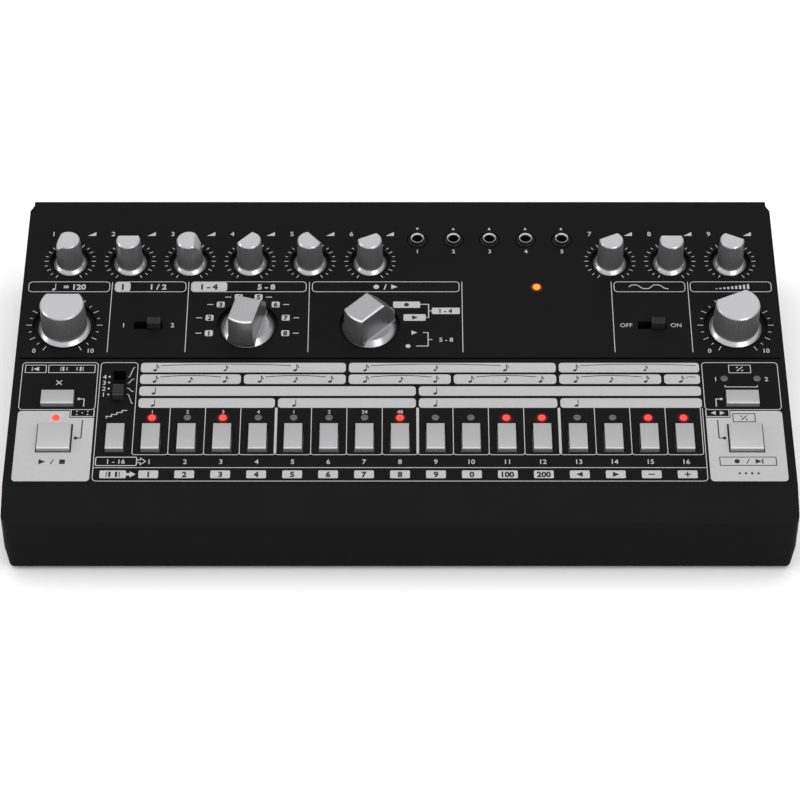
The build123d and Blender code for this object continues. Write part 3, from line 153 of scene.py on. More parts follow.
class Finish(Nodes):
    """One procedural finish, with its sizes in millimetres."""

    def __init__(self, name, colour, roughness, metallic=0.0, specular=0.5):
        self.material = bpy.data.materials.new(name)
        self.material.use_nodes = True
        super().__init__(self.material.node_tree)
        self.colour = colour
        self.roughness = roughness
        self.set("Base Color", (*colour, 1.0)).set("Roughness", roughness)
        self.set("Metallic", metallic).set("Specular IOR Level", specular)
        self.coordinates = self.add("ShaderNodeTexCoord").outputs["Object"]

    def set(self, socket, value):
        self.feed(self.tree.nodes["Principled BSDF"].inputs[socket], value)
        return self

    def texture(self, kind, output, scale, inputs=None, **settings):
        inputs = {"Vector": self.coordinates, "Scale": scale, **(inputs or {})}
        return self.add(f"ShaderNodeTex{kind}", inputs, **settings).outputs[output]

    def noise(self, size, detail=3.0):
        """Noise whose blobs are about this many millimetres across."""
        return self.texture("Noise", "Fac", 1 / (size * MM), {"Detail": detail})

    def cells(self, size):
        return self.texture("Voronoi", "Distance", 1 / (size * MM))

    def shade(self, factor, first, second):
        """A colour between two, by a factor socket."""
        mix = self.add("ShaderNodeMix", {"Factor": factor, COLOUR_A: (*first, 1.0), COLOUR_B: (*second, 1.0)},
                       data_type="RGBA")
        return mix.outputs[COLOUR_MIXED]

    def mottle(self, size, share, detail=3.0):
        """Lightens and darkens the colour by this share, in patches of this size."""
        dark = [c * (1 - share) for c in self.colour]
        light = [min(1.0, c * (1 + share)) for c in self.colour]
        return self.set("Base Color", self.shade(self.noise(size, detail), dark, light))

    def polish(self, size, share):
        """Varies the roughness by this share, in patches of this size."""
        low, high = self.roughness * (1 - share), min(1.0, self.roughness * (1 + share))
        rough = self.add("ShaderNodeMapRange", {"Value": self.noise(size), "To Min": low, "To Max": high})
        return self.set("Roughness", rough.outputs["Result"])

    def bump(self, height, depth, strength):
        """Raises the surface by a height socket, by this many millimetres at most."""
        node = self.add("ShaderNodeBump", {"Height": height, "Distance": depth * MM, "Strength": strength})
        return self.set("Normal", node.outputs["Normal"])

    def grain(self, size, depth, strength):
        """Fine spark-eroded texture of a mould."""
        return self.bump(self.noise(size, 4.0), depth, strength)


def case_finish():
    return Finish("case_plastic", (0.0058, 0.0058, 0.0061), 0.46, specular=0.035) \
        .mottle(14, 0.10).polish(9, 0.10).grain(0.22, 0.012, 0.6)


def base_black():
    return Finish("base_plastic", (0.0052, 0.0052, 0.0055), 0.55, specular=0.035) \
        .mottle(11, 0.12).polish(7, 0.10).grain(0.35, 0.02, 0.7).material


def powder_black():
    finish = Finish("rear_powder_coat", (0.009, 0.009, 0.009), 0.55, specular=0.10)
    return finish.mottle(8, 0.15).bump(finish.cells(0.5), 0.02, 0.5).material


def silver_grey(name, level, roughness):
    """Satin silver-grey moulded plastic with a fine metallic flake."""
    finish = Finish(name, (level, level, level * 1.02), roughness, metallic=0.80, specular=0.4)
    return finish.mottle(1.4, 0.02, 1.0).polish(3.5, 0.08).grain(0.28, 0.002, 0.25).material


def key_grey(name, level):
    finish = Finish(name, (level, level, level * 1.015), 0.38, metallic=0.60, specular=0.4)
    return finish.mottle(4, 0.02).polish(3, 0.10).grain(0.18, 0.005, 0.5).material


def ink_finish(name, level):
    """Silk-screen ink, slightly uneven in cover."""
    return Finish(name, (level, level, level), 0.62, specular=0.25).mottle(1.6, 0.05).grain(0.12, 0.006, 0.5)


def black_moulding(name, level, roughness=0.45):
    return Finish(name, (level, level, level), roughness, specular=0.10) \
        .mottle(2.5, 0.15).polish(2, 0.15).grain(0.2, 0.008, 0.6).material


def nickel():
    finish = Finish("nickel_plate", (0.66, 0.65, 0.64), 0.20, metallic=1.0)
    return finish.mottle(1.2, 0.04).polish(0.9, 0.3).material


def stamped_steel(name, level, roughness):
    finish = Finish(name, (level, level, level * 0.97), roughness, metallic=1.0)
    return finish.mottle(5, 0.08).polish(2.5, 0.25).grain(0.6, 0.01, 0.5).material


def lit_lens(name, core, edge, strength):
    """A clear lens lit from inside: brightest at its middle, deeper in colour towards its foot."""
    finish = Finish(name, tuple(c * 0.4 for c in edge), 0.25, specular=0.3)
    facing = finish.add("ShaderNodeLayerWeight", {"Blend": 0.35}).outputs["Facing"]
    finish.set("Emission Color", finish.shade(facing, core, edge)).set("Emission Strength", strength)
    return finish.mottle(0.8, 0.05).material


def dull_lens():
    return Finish("smoky_lens", (0.07, 0.068, 0.068), 0.30, specular=0.4) \
        .mottle(0.9, 0.10).grain(0.3, 0.004, 0.4).material


def laminate():
    """Green solder mask over glass weave, which shows through it faintly raised."""
    finish = Finish("board_laminate", (0.015, 0.11, 0.045), 0.30)
    weave = finish.texture("Brick", "Fac", scale=90.0, inputs={
        "Mortar Size": 0.03, "Mortar": (0, 0, 0, 1), "Color1": (1, 1, 1, 1), "Color2": (0.7, 0.7, 0.7, 1)})
    return finish.mottle(6, 0.2).bump(weave, 0.03, 0.6).material


def ribbon_vinyl():
    finish = Finish("ribbon_vinyl", (0.40, 0.40, 0.42), 0.45)
    wires = finish.texture("Wave", "Fac", scale=390.0, bands_direction="X")
    return finish.mottle(5, 0.05).bump(wires, 0.3, 0.8).material


def rubber():
    finish = Finish("foot_rubber", (0.018, 0.018, 0.018), 0.85, specular=0.3)
    return finish.mottle(3, 0.15).bump(finish.cells(0.7), 0.05, 0.6).material


def dress(material, *nodes):
    """Gives CAD nodes' objects a better material."""
    for node in nodes:
        for slot in NODES[node].material_slots:
            slot.material = material


CASE = case_finish().material
SILVER = silver_grey("knob_plastic", 0.46, 0.30)
SILVER_SELECTOR = silver_grey("selector_plastic", 0.345, 0.28)
KEY = key_grey("key_plastic", 0.345)
LARGE_KEY = key_grey("large_key_plastic", 0.40)
LIGHT_INK = ink_finish("light_ink", 0.40).material
DARK_INK = ink_finish("dark_ink", 0.006).material
CAP_BLACK = black_moulding("slider_plastic", 0.022)
CAP_GREY = black_moulding("scale_slider_plastic", 0.032)
SOCKET = black_moulding("socket_plastic", 0.008, 0.35)
SWITCH = black_moulding("switch_plastic", 0.010, 0.5)
NICKEL = nickel()
STEEL = stamped_steel("stamped_steel", 0.5, 0.35)
LIT_RED = lit_lens("lamp_red", (1.0, 0.085, 0.08), (1.0, 0.03, 0.025), 0.9)
LIT_AMBER = lit_lens("lamp_amber", (1.0, 0.38, 0.065), (1.0, 0.22, 0.02), 0.95)
UNLIT = dull_lens()

dress(CASE, "top_cover")
dress(base_black(), "bottom_cover")
dress(powder_black(), "rear_plate")
dress(laminate(), "control_board", "connector_board")
dress(ribbon_vinyl(), "ribbon_cable")
dress(rubber(), "rubber_feet")
dress(SOCKET, "panel_jacks", "voice_jacks", "main_output_jack", "data_sockets", "power_inlet")
dress(SWITCH, "rotary_switches", "tact_switches", "slide_switches")
dress(STEEL, "potentiometers", "square_data_socket", "power_switch")
dress(stamped_steel("screw_steel", 0.10, 0.4), "screws")
dress(LIT_RED, "lamps_lit")
dress(UNLIT, "lamps_unlit")
dress(LIT_AMBER, "power_lamp")


# -------------------- turning shapes into pieces
SMALLEST_GAP = 1e-4  # points nearer to each other than this are one, in millimetres
ON_PLANE = 1e-5  # and points nearer than this to a cutting plane lie on it


def add_piece(name, mesh, body, replaced=(), materials=(), smooth_angle=None):
    """Makes a mesh a finished piece at the origin that rides on a body."""
    for material in materials:
        mesh.materials.append(material)
    if smooth_angle is not None:
        mesh.shade_smooth()
        mesh.set_sharp_from_angle(angle=math.radians(smooth_angle))
    piece = new_object(name, mesh)
    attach(piece, body)
    if replaced:
        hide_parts(*replaced)


def add_cap(node, shape, place, material, smooth_angle):
    """Adds the piece that stands for a moving node and rides on it."""
    add_piece(f"{node}_cap", to_mesh(node, shape, place), node, [node], [material], smooth_angle)


def to_mesh(name, shape, place):
    """A bmesh in millimetres becomes a mesh in metres at its place, with its faces outwards."""
    bmesh.ops.transform(shape, matrix=TO_METRES @ place, verts=shape.verts)
    bmesh.ops.recalc_face_normals(shape, faces=shape.faces)
    mesh = bpy.data.meshes.new(name)
    shape.to_mesh(mesh)
    shape.free()
    return mesh


def prism(shape, outline, low, high):
    """Adds a closed prism over an outline of (x, y) points."""
    rings = [[shape.verts.new((x, y, z)) for x, y in outline] for z in (low, high)]
    shape.faces.new(rings[0][::-1])
    shape.faces.new(rings[1])
    for index in range(len(outline)):
        after = (index + 1) % len(outline)
        shape.faces.new((rings[0][index], rings[0][after], rings[1][after], rings[1][index]))


def turned(profile, sides):
    """A solid of revolution about Z from (radius, height) points; it starts and ends on the axis."""
    shape = bmesh.new()
    rings = []
    for radius, height in profile:
        if radius == 0:
            rings.append([shape.verts.new((0, 0, height))] * sides)
        else:
            rings.append([shape.verts.new((radius * math.cos(a), radius * math.sin(a), height))
                          for a in (math.tau * i / sides for i in range(sides))])
    for lower, upper in zip(rings, rings[1:]):
        for i in range(sides):
            j = (i + 1) % sides
            corners = (lower[i], lower[j], upper[j], upper[i])
            shape.faces.new(list(dict.fromkeys(corners)))
    return shape


def cut_away(shape, point, normal):
    """Cuts off what lies beyond a plane and closes the cut."""
    geometry = shape.verts[:] + shape.edges[:] + shape.faces[:]
    cut = bmesh.ops.bisect_plane(shape, geom=geometry, plane_co=point, plane_no=normal, clear_outer=True,
                                 dist=ON_PLANE)
    rim = [item for item in cut["geom_cut"] if isinstance(item, bmesh.types.BMEdge) and item.is_boundary]
    bmesh.ops.contextual_create(shape, geom=rim)


# -------------------- geometry trees for what repeats
DOME_SIDES = 24
WIRE_SIDES = 10
RING_SIDES = 48


class Tree(Nodes):
    """A geometry tree with named inputs. Where a socket is fed a string, it is the input of that name."""

    SIGNS = {"+": "ADD", "-": "SUBTRACT", "*": "MULTIPLY", "/": "DIVIDE", "%": "FLOORED_MODULO"}

    def __init__(self, name, whole, real):
        super().__init__(bpy.data.node_groups.new(name, "GeometryNodeTree"))
        interface = self.tree.interface
        interface.new_socket("Mesh", in_out="OUTPUT", socket_type="NodeSocketGeometry")
        kinds = {"Places": "Geometry", **dict.fromkeys(whole, "Int"), **dict.fromkeys(real, "Float"),
                 "Material": "Material"}
        self.identifiers = {}
        for label, kind in kinds.items():
            socket = interface.new_socket(label, in_out="INPUT", socket_type=f"NodeSocket{kind}")
            self.identifiers[label] = socket.identifier
        self.entry = self.tree.nodes.new("NodeGroupInput")

    def feed(self, socket, value):
        super().feed(socket, self.entry.outputs[value] if isinstance(value, str) else value)

    def node(self, kind, inputs=None, **settings):
        """The first output of a new node."""
        return self.add(f"GeometryNode{kind}", inputs, **settings).outputs[0]

    def sum(self, first, sign, second):
        return self.add("ShaderNodeMath", {0: first, 1: second}, operation=self.SIGNS[sign]).outputs[0]

    def of(self, function, value):
        return self.add("ShaderNodeMath", {0: value}, operation=function).outputs[0]

    def vector(self, x=0.0, y=0.0, z=0.0):
        return self.add("ShaderNodeCombineXYZ", {0: x, 1: y, 2: z}).outputs[0]

    def round_place(self, angle, reach, height=0.0):
        """A point round the upright axis; the angle is measured from Y."""
        return self.vector(self.sum(reach, "*", self.of("SINE", angle)),
                           self.sum(reach, "*", self.of("COSINE", angle)), height)

    def pick(self, index, *values):
        """The value at an index, out of a short list."""
        node = self.add("GeometryNodeIndexSwitch", data_type="FLOAT")
        while len(node.index_switch_items) < len(values):
            node.index_switch_items.new()
        for socket, value in zip(node.inputs, (index, *values)):
            self.feed(socket, value)
        return node.outputs[0]

    def circle(self, sides, radius):
        return self.node("CurvePrimitiveCircle", {"Resolution": sides, "Radius": radius})

    def finish(self, geometry):
        """Ends the tree with real geometry in its material."""
        real = self.node("RealizeInstances", {"Geometry": geometry})
        faced = self.node("SetMaterial", {"Geometry": real, "Material": "Material"})
        self.add("NodeGroupOutput", {0: faced})
        return self

    def stand(self, piece):
        """Ends the tree with the piece on each of the given places."""
        return self.finish(self.node("InstanceOnPoints", {"Points": "Places", "Instance": piece}))

    def sweep(self, section):
        """Carries a section round a circle, and ends the tree with the result on the given places."""
        path = self.circle("Sides", "Radius")
        return self.stand(self.node("CurveToMesh", {"Curve": path, "Profile Curve": section}))

    def grow(self, name, material, place=AS_IT_IS, points=(), **values):
        """Runs the tree on a few points and gives back one plain mesh in metres, at its place."""
        seed = bpy.data.meshes.new(name + "_places")
        seed.from_pydata([tuple(p) for p in points], [], [])
        holder = new_object(name + "_places", seed)
        modifier = holder.modifiers.new("tree", "NODES")
        modifier.node_group = self.tree
        for label, value in {**values, "Material": material}.items():
            modifier[self.identifiers[label]] = value
        mesh = bake(holder)
        mesh.name = name
        mesh.transform(TO_METRES @ place)
        return mesh


def fluted_knob_tree():
    """A turned knob: plain skirt, tapering grip whose V flutes run out through the top's bevel, flat top."""
    tree = Tree("fluted_knob", ["Flutes"], ["Flute_Depth", "Skirt_Radius", "Shoulder_Radius", "Grip_Radius",
                                            "Rim_Radius", "Base", "Skirt_Top", "Grip_Top", "Top"])
    rows = 7
    columns = tree.sum(tree.sum("Flutes", "*", 2), "+", 1)
    grid = tree.node("MeshGrid", {"Vertices X": columns, "Vertices Y": rows})
    index = tree.node("InputIndex")
    column = tree.of("FLOOR", tree.sum(index, "/", rows))
    row = tree.sum(index, "%", rows)
    angle = tree.sum(tree.sum(column, "/", tree.sum(columns, "-", 1)), "*", math.tau)
    dent = tree.sum(tree.sum(column, "%", 2), "*", "Flute_Depth")
    foot = tree.sum("Shoulder_Radius", "-", dent)
    brow = tree.sum("Grip_Radius", "-", dent)
    steepness = tree.sum(tree.sum("Top", "-", "Grip_Top"), "/", tree.sum("Grip_Radius", "-", "Rim_Radius"))
    run_out = tree.sum("Grip_Top", "+", tree.sum(dent, "*", steepness))
    radius = tree.pick(row, 0.0, "Skirt_Radius", "Shoulder_Radius", foot, brow, "Rim_Radius", 0.0)
    height = tree.pick(row, "Base", "Base", "Skirt_Top", "Skirt_Top", run_out, "Top", "Top")
    formed = tree.node("SetPosition", {"Geometry": grid, "Position": tree.round_place(angle, radius, height)})
    return tree.finish(tree.node("MergeByDistance", {"Geometry": formed, "Distance": SMALLEST_GAP}))


def dial_tree():
    """Strokes round a knob, long and short by turns, centred on upright."""
    tree = Tree("dial", ["Count"], ["Step", "Inner", "Long_Outer", "Short_Inner", "Short_Outer", "Stroke",
                                    "Thickness"])
    points = tree.node("Points", {"Count": "Count"})
    index = tree.node("InputIndex")
    middle = tree.sum(tree.sum("Count", "-", 1), "/", 2)
    angle = tree.sum(tree.sum(index, "-", middle), "*", "Step")
    short = tree.sum(index, "%", 2)
    outer = tree.pick(short, "Long_Outer", "Short_Outer")
    inner = tree.pick(short, "Inner", "Short_Inner")
    reach = tree.sum(tree.sum(outer, "+", inner), "/", 2)
    placed = tree.node("SetPosition", {"Geometry": points, "Position": tree.round_place(angle, reach)})
    stroke = tree.node("MeshCube", {"Size": tree.vector("Stroke", 1.0, "Thickness")})
    return tree.finish(tree.node("InstanceOnPoints", {
        "Points": placed, "Instance": stroke, "Rotation": tree.vector(z=tree.sum(angle, "*", -1.0)),
        "Scale": tree.vector(1.0, tree.sum(outer, "-", inner), 1.0)}))


def lens_tree():
    """Domed lenses standing on the given places."""
    tree = Tree("lenses", [], ["Radius", "Height"])
    dome = tree.node("MeshUVSphere", {"Segments": DOME_SIDES, "Rings": DOME_SIDES // 2, "Radius": "Radius"})
    squash = tree.vector(1.0, 1.0, tree.sum("Height", "/", "Radius"))
    return tree.stand(tree.node("Transform", {"Geometry": dome, "Scale": squash}))


def ring_tree():
    """Rounded rings lying on the given places."""
    tree = Tree("rings", ["Sides"], ["Radius", "Wire"])
    return tree.sweep(tree.circle(WIRE_SIDES, "Wire"))


def sleeve_tree():
    """Collars lying on the given places: a flat lip round a countersunk mouth."""
    tree = Tree("sleeves", ["Sides"], ["Radius", "Lip", "Run", "Rise", "Sunk"])
    up = tree.sum("Rise", "*", -1.0)
    inwards = tree.sum("Run", "*", -1.0)
    return tree.sweep(tree.node("CurvePrimitiveQuadrilateral", {
        "Point 1": tree.vector("Lip", up), "Point 2": tree.vector("Lip", "Sunk"),
        "Point 3": tree.vector(inwards, "Sunk"), "Point 4": tree.vector(0.0, up)}, mode="POINTS"))


def weld(mesh):
    """Merges doubled points and turns every face outwards."""
    shape = bmesh.new()
    shape.from_mesh(mesh)
    bmesh.ops.remove_doubles(shape, verts=shape.verts, dist=SMALLEST_GAP * MM)
    bmesh.ops.recalc_face_normals(shape, faces=shape.faces)
    shape.to_mesh(mesh)
    shape.free()
    return mesh


# -------------------- camera, lights, floor
VIEW_ELEVATION = math.radians(45)
VIEW_DISTANCE = 1229.0
VIEW_TARGET = Vector((0, -25.66, 37.30))
FRAME_PIXELS = 800
FOCAL_PIXELS = 3136.0
SENSOR = 36.0
WALL_TOP = 0.4  # reflected directions that rise by this share or more are at full brightness
WALL_FOOT = 0.6  # level ones are at this share of it
FLOOR_REACH = 6.0


def add_camera():
    data = bpy.data.cameras.new("camera")
    data.sensor_width = SENSOR
    data.lens = SENSOR * FOCAL_PIXELS / FRAME_PIXELS
    data.clip_end = 10
    camera = new_object("camera", data)
    back = Vector((0, -math.cos(VIEW_ELEVATION), math.sin(VIEW_ELEVATION)))
    camera.location = (VIEW_TARGET + back * VIEW_DISTANCE) * MM
    camera.rotation_euler = (math.pi / 2 - VIEW_ELEVATION, 0, 0)
    bpy.context.scene.camera = camera


def add_softbox(name, place, target_height, width, depth, power):
    """A rectangular lamp in metres and watts, turned to a spot above the middle of the floor."""
    data = bpy.data.lights.new(name, "AREA")
    data.shape = "RECTANGLE"
    data.size = width
    data.size_y = depth
    data.energy = power
    lamp = new_object(name, data)
    lamp.location = place
    aim = Vector((0, 0, target_height)) - Vector(place)
    lamp.rotation_euler = aim.to_track_quat("-Z", "Y").to_euler()


def add_world(diffuse, glossy):
    """White to the camera, a soft fill for what it lights, and reflected walls that darken downwards."""
    world = bpy.data.worlds.new("studio")
    bpy.context.scene.world = world
    world.use_nodes = True
    nodes = Nodes(world.node_tree)
    path = nodes.add("ShaderNodeLightPath").outputs
    seen = nodes.add("ShaderNodeMath", {0: path["Is Camera Ray"], 1: path["Is Transmission Ray"]},
                     operation="MAXIMUM").outputs[0]
    aim = nodes.add("ShaderNodeTexCoord").outputs["Generated"]
    height = nodes.add("ShaderNodeSeparateXYZ", {0: aim}).outputs["Z"]
    wall = nodes.add("ShaderNodeMapRange", {"Value": height, "From Max": WALL_TOP,
                                            "To Min": glossy * WALL_FOOT, "To Max": glossy}).outputs["Result"]
    lighting = nodes.add("ShaderNodeMix", {"Factor": path["Is Glossy Ray"], "A": diffuse, "B": wall})
    strength = nodes.add("ShaderNodeMix", {"Factor": seen, "A": lighting.outputs["Result"], "B": 1.0})
    background = world.node_tree.nodes["Background"].inputs
    nodes.feed(background["Color"], (1, 1, 1, 1))
    nodes.feed(background["Strength"], strength.outputs["Result"])


def add_floor():
    mesh = bpy.data.meshes.new("floor")
    corners = [(x * FLOOR_REACH, y * FLOOR_REACH, 0) for x, y in ((-1, -1), (1, -1), (1, 1), (-1, 1))]
    mesh.from_pydata(corners, [], [(0, 1, 2, 3)])
    finish = Finish("studio_floor", (0.95, 0.95, 0.95), 0.5, specular=0.3).mottle(60, 0.004)
    mesh.materials.append(finish.material)
    new_object("floor", mesh)


add_camera()
add_world(diffuse=0.62, glossy=1.05)
add_softbox("overhead", (0.0, -0.10, 2.2), target_height=0, width=2.7, depth=1.8, power=32)
add_softbox("side_left", (-1.47, -0.06, 0.65), target_height=0.03, width=0.5, depth=0.35, power=3.0)
add_softbox("front_right", (0.74, -1.09, 0.91), target_height=0.03, width=0.8, depth=0.35, power=4.6)
add_floor()
bpy.context.scene.view_settings.view_transform = "Standard"


# -------------------- knobs
FLUTED_KNOB = fluted_knob_tree()
KNOBS = {**{f"level_knob_{number}": "small" for number in range(1, 10)}, "tempo_knob": "large",
         "volume_knob": "large"}
KNOB_RADII = ("Skirt_Radius", "Shoulder_Radius", "Grip_Radius", "Rim_Radius")
KNOB_SIZES = {"small": dict(zip(KNOB_RADII, (6.7, 5.4, 4.9, 4.25)), Flutes=48),
              "large": dict(zip(KNOB_RADII, (10.5, 9.15, 8.8, 8.15)), Flutes=72)}
POINTER_CHORD = {"small": 2.2, "large": 5.3}  # how far from the axis the pointer's facet starts
POINTER_SLOPE = 1.5  # the facet drops this much for each millimetre outwards
FLUTE_DEPTH = 0.45
EDGE_BREAK = 0.16  # width of the small bevel between the top and the facet


def knob_place(node, centre=0):
    """Where a knob stands, turned as at rest; centre is the middle of its stops, in degrees clockwise."""
    turn = -centre - sum(JOINTS[node]["range_deg"]) / 2
    return on_panel(*panel_place(node)) @ Matrix.Rotation(math.radians(turn), 4, "Z")


def point_facet(shape, chord, slope):
    """Cuts the pointer's sloping facet and breaks its edge with the top face."""
    top = Vector((0, chord, KNOB_TOP))
    cut_away(shape, top, Vector((0, slope, 1)).normalized())
    half_slope = math.tan(math.atan(slope) / 2)
    cut_away(shape, top - Vector((0, EDGE_BREAK, 0)), Vector((0, half_slope, 1)).normalized())


def make_knob(node, size):
    mesh = FLUTED_KNOB.grow(node, SILVER, Flute_Depth=FLUTE_DEPTH, Base=-KNOB_SINK, Skirt_Top=SKIRT_TOP,
                            Grip_Top=GRIP_TOP, Top=KNOB_TOP, **KNOB_SIZES[size])
    shape = absorb(bmesh.new(), mesh)
    bmesh.ops.remove_doubles(shape, verts=shape.verts, dist=SMALLEST_GAP)
    point_facet(shape, POINTER_CHORD[size], POINTER_SLOPE)
    add_cap(node, shape, knob_place(node), SILVER, smooth_angle=28)


for node, size in KNOBS.items():
    make_knob(node, size)

SELECTOR = SimpleNamespace(skirt=10.65, shelf=8.6, tail=10.2, chord=3.3, slope=1.25, half_width=5.0,
                           foot_half_width=5.7, foot=-1.2, scoop=6.0, bevel_run=0.75, bevel_drop=0.32)
SELECTOR_CENTRES = {"instrument_selector": 0, "mode_selector": 90}
SELECTOR_SIDES = 96
SCOOP_STEPS = 10
OVERLAP = 0.02  # the disc stands this far out of the bar that is joined to it


def scooped_bar():
    """The pointer bar: a block with hollowed flanks and bevelled top edges, longer than the disc is wide."""
    s = SELECTOR
    flank = [(s.foot_half_width, s.foot)]
    for step in range(SCOOP_STEPS + 1):
        angle = math.pi / 2 * step / SCOOP_STEPS
        flank.append((s.foot_half_width - (s.foot_half_width - s.half_width) * math.sin(angle),
                      SHELF_TOP + s.scoop * (1 - math.cos(angle))))
    flank += [(s.half_width, KNOB_TOP - s.bevel_drop), (s.half_width - s.bevel_run, KNOB_TOP)]
    outline = flank + [(-x, z) for x, z in reversed(flank)]
    shape = bmesh.new()
    prism(shape, outline, -s.skirt - 1, s.skirt + 1)
    bmesh.ops.rotate(shape, cent=(0, 0, 0), matrix=Matrix.Rotation(math.pi / 2, 3, "X"), verts=shape.verts)
    return shape


def boolean(operation, first, second):
    """One solid from two, worked out exactly. Both are bmeshes in millimetres."""
    meshes = [to_mesh("boolean_part", shape, AS_IT_IS) for shape in (first, second)]
    holders = [new_object("boolean_part", mesh) for mesh in meshes]
    modifier = holders[0].modifiers.new("boolean", "BOOLEAN")
    modifier.operation = operation
    modifier.object = holders[1]
    modifier.solver = "EXACT"
    return absorb(bmesh.new(), bake(*holders))


def make_selector(node, centre):
    s = SELECTOR
    outer = turned([(0, -KNOB_SINK), (s.skirt, -KNOB_SINK), (s.tail, KNOB_TOP - s.bevel_drop),
                    (s.tail - s.bevel_run, KNOB_TOP), (0, KNOB_TOP)], SELECTOR_SIDES)
    disc = turned([(0, -KNOB_SINK), (s.skirt + OVERLAP, -KNOB_SINK), (s.shelf, SHELF_TOP), (0, SHELF_TOP)],
                  SELECTOR_SIDES)
    shape = boolean("UNION", boolean("INTERSECT", outer, scooped_bar()), disc)
    bmesh.ops.remove_doubles(shape, verts=shape.verts, dist=SMALLEST_GAP)
    point_facet(shape, s.chord, s.slope)
    add_cap(node, shape, knob_place(node, centre), SILVER_SELECTOR, smooth_angle=16)


for node, centre in SELECTOR_CENTRES.items():
    make_selector(node, centre)


# -------------------- printed marks
CAPITAL_HEIGHT = 0.729  # height of the built-in font's capitals at size 1
LINE = 0.31  # width of a printed line
MITRE_LIMIT = 0.5  # a sharp corner's mitre reaches at most twice as far out as the line's edge
LIGHT_LOW, LIGHT_HIGH = -0.02, 0.03
DARK_LOW, DARK_HIGH = 0.0, 0.055
HAIR, HAIRS = 0.003, 5  # marks end at this many heights, a hair apart
FRAME_RADIUS = 1.5
LABEL_RADIUS = 0.5
ROUND_STEPS = 4  # straight runs in a rounded corner
DISC_SIDES = 16
SLUR_STEPS = 12


def rounded(corners, numbers, radius=FRAME_RADIUS):
    """The outline of a polygon with the corners of these numbers rounded."""
    outline = []
    for i, corner in enumerate(corners):
        if i not in numbers or not radius:
            outline.append(corner)
            continue
        here = Vector(corner)
        inward = (Vector(corners[i - 1]) - here).normalized() * radius
        outward = (Vector(corners[(i + 1) % len(corners)]) - here).normalized() * radius
        centre = here + inward + outward
        for step in range(ROUND_STEPS + 1):
            a = math.pi / 2 * step / ROUND_STEPS
            outline.append(tuple(centre - outward * math.cos(a) - inward * math.sin(a)))
    return outline


def block(left, low, right, high, radius):
    """The outline of a rectangle with rounded corners."""
    return rounded([(left, low), (right, low), (right, high), (left, high)], range(4), radius)


